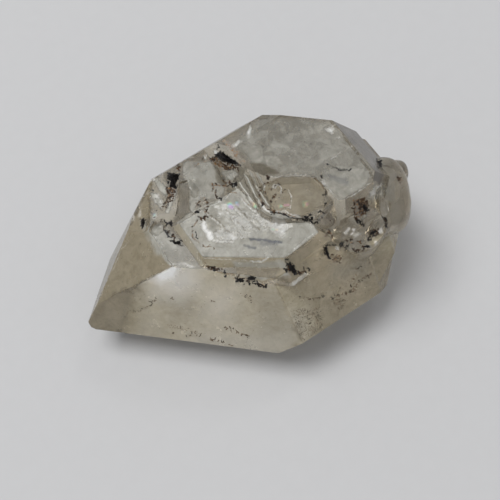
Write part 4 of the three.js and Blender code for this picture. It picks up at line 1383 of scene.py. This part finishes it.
def quartz_material():
    n = Nodes("clear_quartz")
    speckle = n.noise(2.6, detail=5, roughness=0.7)
    cloud = n.noise(0.55, detail=4)
    wisps = n.noise(0.75, detail=6, roughness=0.68, distortion=0.8)
    mottle = n.between(n.math("ADD", speckle, n.math("MULTIPLY", wisps, 2)), 1.2, 1.8)
    scales = n.noise(1.3, detail=6, roughness=0.68, distortion=1.4)
    crazing = n.noise(6.5, detail=4, roughness=0.75)
    hue = n.noise(0.9, detail=1, place=n.vector("ADD", n.place, (3.1, 1.7, 0.4)))
    painted = {kind: n.attribute(kind) for kind in OPACITY}

    def break_up(kind, low, high, amount):
        """Breaks up the edge of what is painted by fine noise."""
        ragged = n.math("MULTIPLY", n.math("SUBTRACT", speckle, 0.5), amount)
        near = n.between(painted[kind], 0, 0.25)
        grown = n.math("ADD", painted[kind], n.math("MULTIPLY", ragged, near))
        painted[kind] = n.between(grown, low, high)

    def milky(kind):
        """The kind's own colours, varied by fine noise, over the colour below."""
        return n.mix(n.between(painted[kind], 0, 0.3), colour, n.mix(mottle, *QUARTZ_COLOURS[kind]))

    break_up("frost_and_glint", 0.1, 1.0, 1.2)
    break_up("brown", 0.3, 0.9, 2.2)
    break_up("black", 0.35, 0.6, 2.0)
    break_up("flash", 0.2, 1.2, 0.6)
    frost_and_glint = n.math("MULTIPLY", painted["frost_and_glint"], n.between(scales, 0.38, 0.6, 0.25, 1.1))
    drift = n.math("MULTIPLY", n.math("SUBTRACT", wisps, 0.5), n.between(painted["pale"], 0, 0.3, 0, 0.5))
    painted["frost_and_glint"] = frost_and_glint
    painted["pale"] = n.math("ADD", painted["pale"], drift, clamp=True)

    colour = n.mix(n.between(cloud, 0.35, 0.65), *QUARTZ_COLOURS["clear"])
    # Over the clear colour come painted shade, milky haze and pale, painted glare, painted dark reflections,
    # frost with painted glints, rust, painted rainbow flashes and black carbon.
    colour = milky("milky_shade")
    colour = n.mix(painted["haze"], colour, n.mix(mottle, *QUARTZ_COLOURS["haze"]))
    colour = milky("pale")
    colour = n.mix(painted["painted_glare"], colour, PAINTED_GLARE_COLOUR)
    colour = milky("shade")
    colour = milky("deep_shade")
    colour = n.mix(painted["dark_reflection"], colour, DARK_REFLECTION_COLOUR)
    colour = n.mix(frost_and_glint, colour, FROST_AND_GLINT_COLOUR)
    rust = n.mix(n.between(speckle, 0.4, 0.62), *QUARTZ_COLOURS["brown"])
    colour = n.mix(painted["brown"], colour, rust)
    colour = n.mix(painted["flash"], colour, n.ramp(hue, RAINBOW))
    colour = n.mix(painted["black"], colour, BLACK_COLOUR)

    solid = n.between(cloud, 0.4, 0.7, 0.07, 0.16)
    for kind, share in OPACITY.items():
        solid = n.math("MAXIMUM", solid, n.math("MULTIPLY", painted[kind], share))
    rough = n.math("ADD", n.between(cloud, 0.3, 0.7, 0.16, 0.3), n.math("MULTIPLY", frost_and_glint, 0.2))
    normal = n.bump(n.noise(0.35, detail=2), 0.12, 0.3)
    normal = n.bump(n.math("MULTIPLY", crazing, n.between(frost_and_glint, 0, 0.5, 0.03, 1)), 0.3, 0.05, normal)

    absorption = n.nodes.new("ShaderNodeVolumeAbsorption")
    absorption.inputs["Color"].default_value = DEPTH_COLOUR
    absorption.inputs["Density"].default_value = DEPTH_DENSITY
    n.links.new(absorption.outputs["Volume"], n.nodes["Material Output"].inputs["Volume"])
    return n.finish({
        "Base Color": colour,
        "Transmission Weight": n.math("SUBTRACT", 1.0, solid, clamp=True),
        "Roughness": rough,
        "IOR": QUARTZ_INDEX,
        "Normal": normal,
    })


def carbon_material():
    n = Nodes("black_carbon")
    grain = n.noise(7, detail=5, roughness=0.7)
    return n.finish({
        "Base Color": n.mix(n.between(grain, 0.45, 0.7), *CARBON_COLOURS),
        "Roughness": n.between(grain, 0.3, 0.7, 0.22, 0.6),
        "Specular IOR Level": 0.22,
        "Normal": n.bump(n.noise(14, detail=3), 0.4, 0.05),
    })


def rust_material():
    n = Nodes("rusty_film")
    patches = n.noise(3.2, detail=4, roughness=0.7)
    return n.finish({
        "Base Color": n.ramp(patches, RUST_COLOURS),
        "Roughness": n.between(patches, 0.3, 0.7, 0.45, 0.8),
        "Specular IOR Level": 0.25,
        "Normal": n.bump(n.noise(16, detail=3), 0.4, 0.04),
    })


def speck_material():
    n = Nodes("speck_film")
    patches = n.noise(1.6, detail=2)
    return n.finish({
        "Base Color": n.mix(n.between(patches, 0.4, 0.6), *SPECK_COLOURS),
        "Roughness": n.between(patches, 0.3, 0.7, 0.5, 0.75),
        "Specular IOR Level": 0.2,
    })


# The stage.

def make_floor():
    bm = bmesh.new()
    under = Matrix.Translation((0, 0, -FLOOR_GAP))
    bmesh.ops.create_grid(bm, x_segments=2, y_segments=2, size=FLOOR_HALF, matrix=under)
    floor = object_from_bmesh("floor", bm)
    n = Nodes("pale_floor")
    grain = n.noise(0.6, detail=5)
    roughness = n.between(grain, 0.3, 0.7, 0.85, 0.95)
    material = n.finish({"Base Color": n.mix(grain, *FLOOR_COLOURS), "Roughness": roughness})
    floor.data.materials.append(material)


def add_area_light(name, bearing, height, side, power):
    """A square light, at a bearing and a height in degrees, that looks at the origin."""
    data = bpy.data.lights.new(name, "AREA")
    data.shape = "SQUARE"
    data.size = side
    data.energy = power
    light = bpy.data.objects.new(name, data)
    bpy.context.scene.collection.objects.link(light)
    angle, lift = math.radians(bearing), math.radians(height)
    towards = Vector((math.cos(angle) * math.cos(lift), math.sin(angle) * math.cos(lift), math.sin(lift)))
    light.location = towards * LIGHT_DISTANCE
    light.rotation_euler = towards.to_track_quat("Z", "Y").to_euler()


def make_lights():
    world = bpy.data.worlds.new("studio")
    bpy.context.scene.world = world
    world.use_nodes = True
    background = world.node_tree.nodes["Background"]
    background.inputs["Color"].default_value = (0.97, 0.98, 1, 1)
    background.inputs["Strength"].default_value = 0.38
    add_area_light("window", bearing=125, height=70, side=0.7, power=9.5)
    add_area_light("card", bearing=25, height=51, side=0.16, power=0.55)
    bpy.context.scene.view_settings.view_transform = "Standard"
    # Light is caught many times between the faces of a clear stone before it leaves.
    cycles = bpy.context.scene.cycles
    cycles.max_bounces = LIGHT_BOUNCES
    cycles.transmission_bounces = LIGHT_BOUNCES
    cycles.glossy_bounces = LIGHT_BOUNCES


make_camera()
make_floor()
make_lights()
stone, surface = make_stone()
stone.data.materials.clear()
stone.data.materials.append(quartz_material())
carbon, rust, specks = carbon_material(), rust_material(), speck_material()
for i in range(len(GRAIN_OUTLINES)):
    make_grain(i, surface, carbon)
make_crumbs("carbon_crumbs", CARBON_CRUMBS, surface, carbon, flatness=0.7, sink=0.2, seed=71)
make_crumbs("rusty_crumbs", RUST_CRUMBS, surface, rust, flatness=0.55, sink=0.2, seed=72)
make_crumbs("face_specks", SPECKS, surface, specks, flatness=0.5, sink=0.1, seed=73)
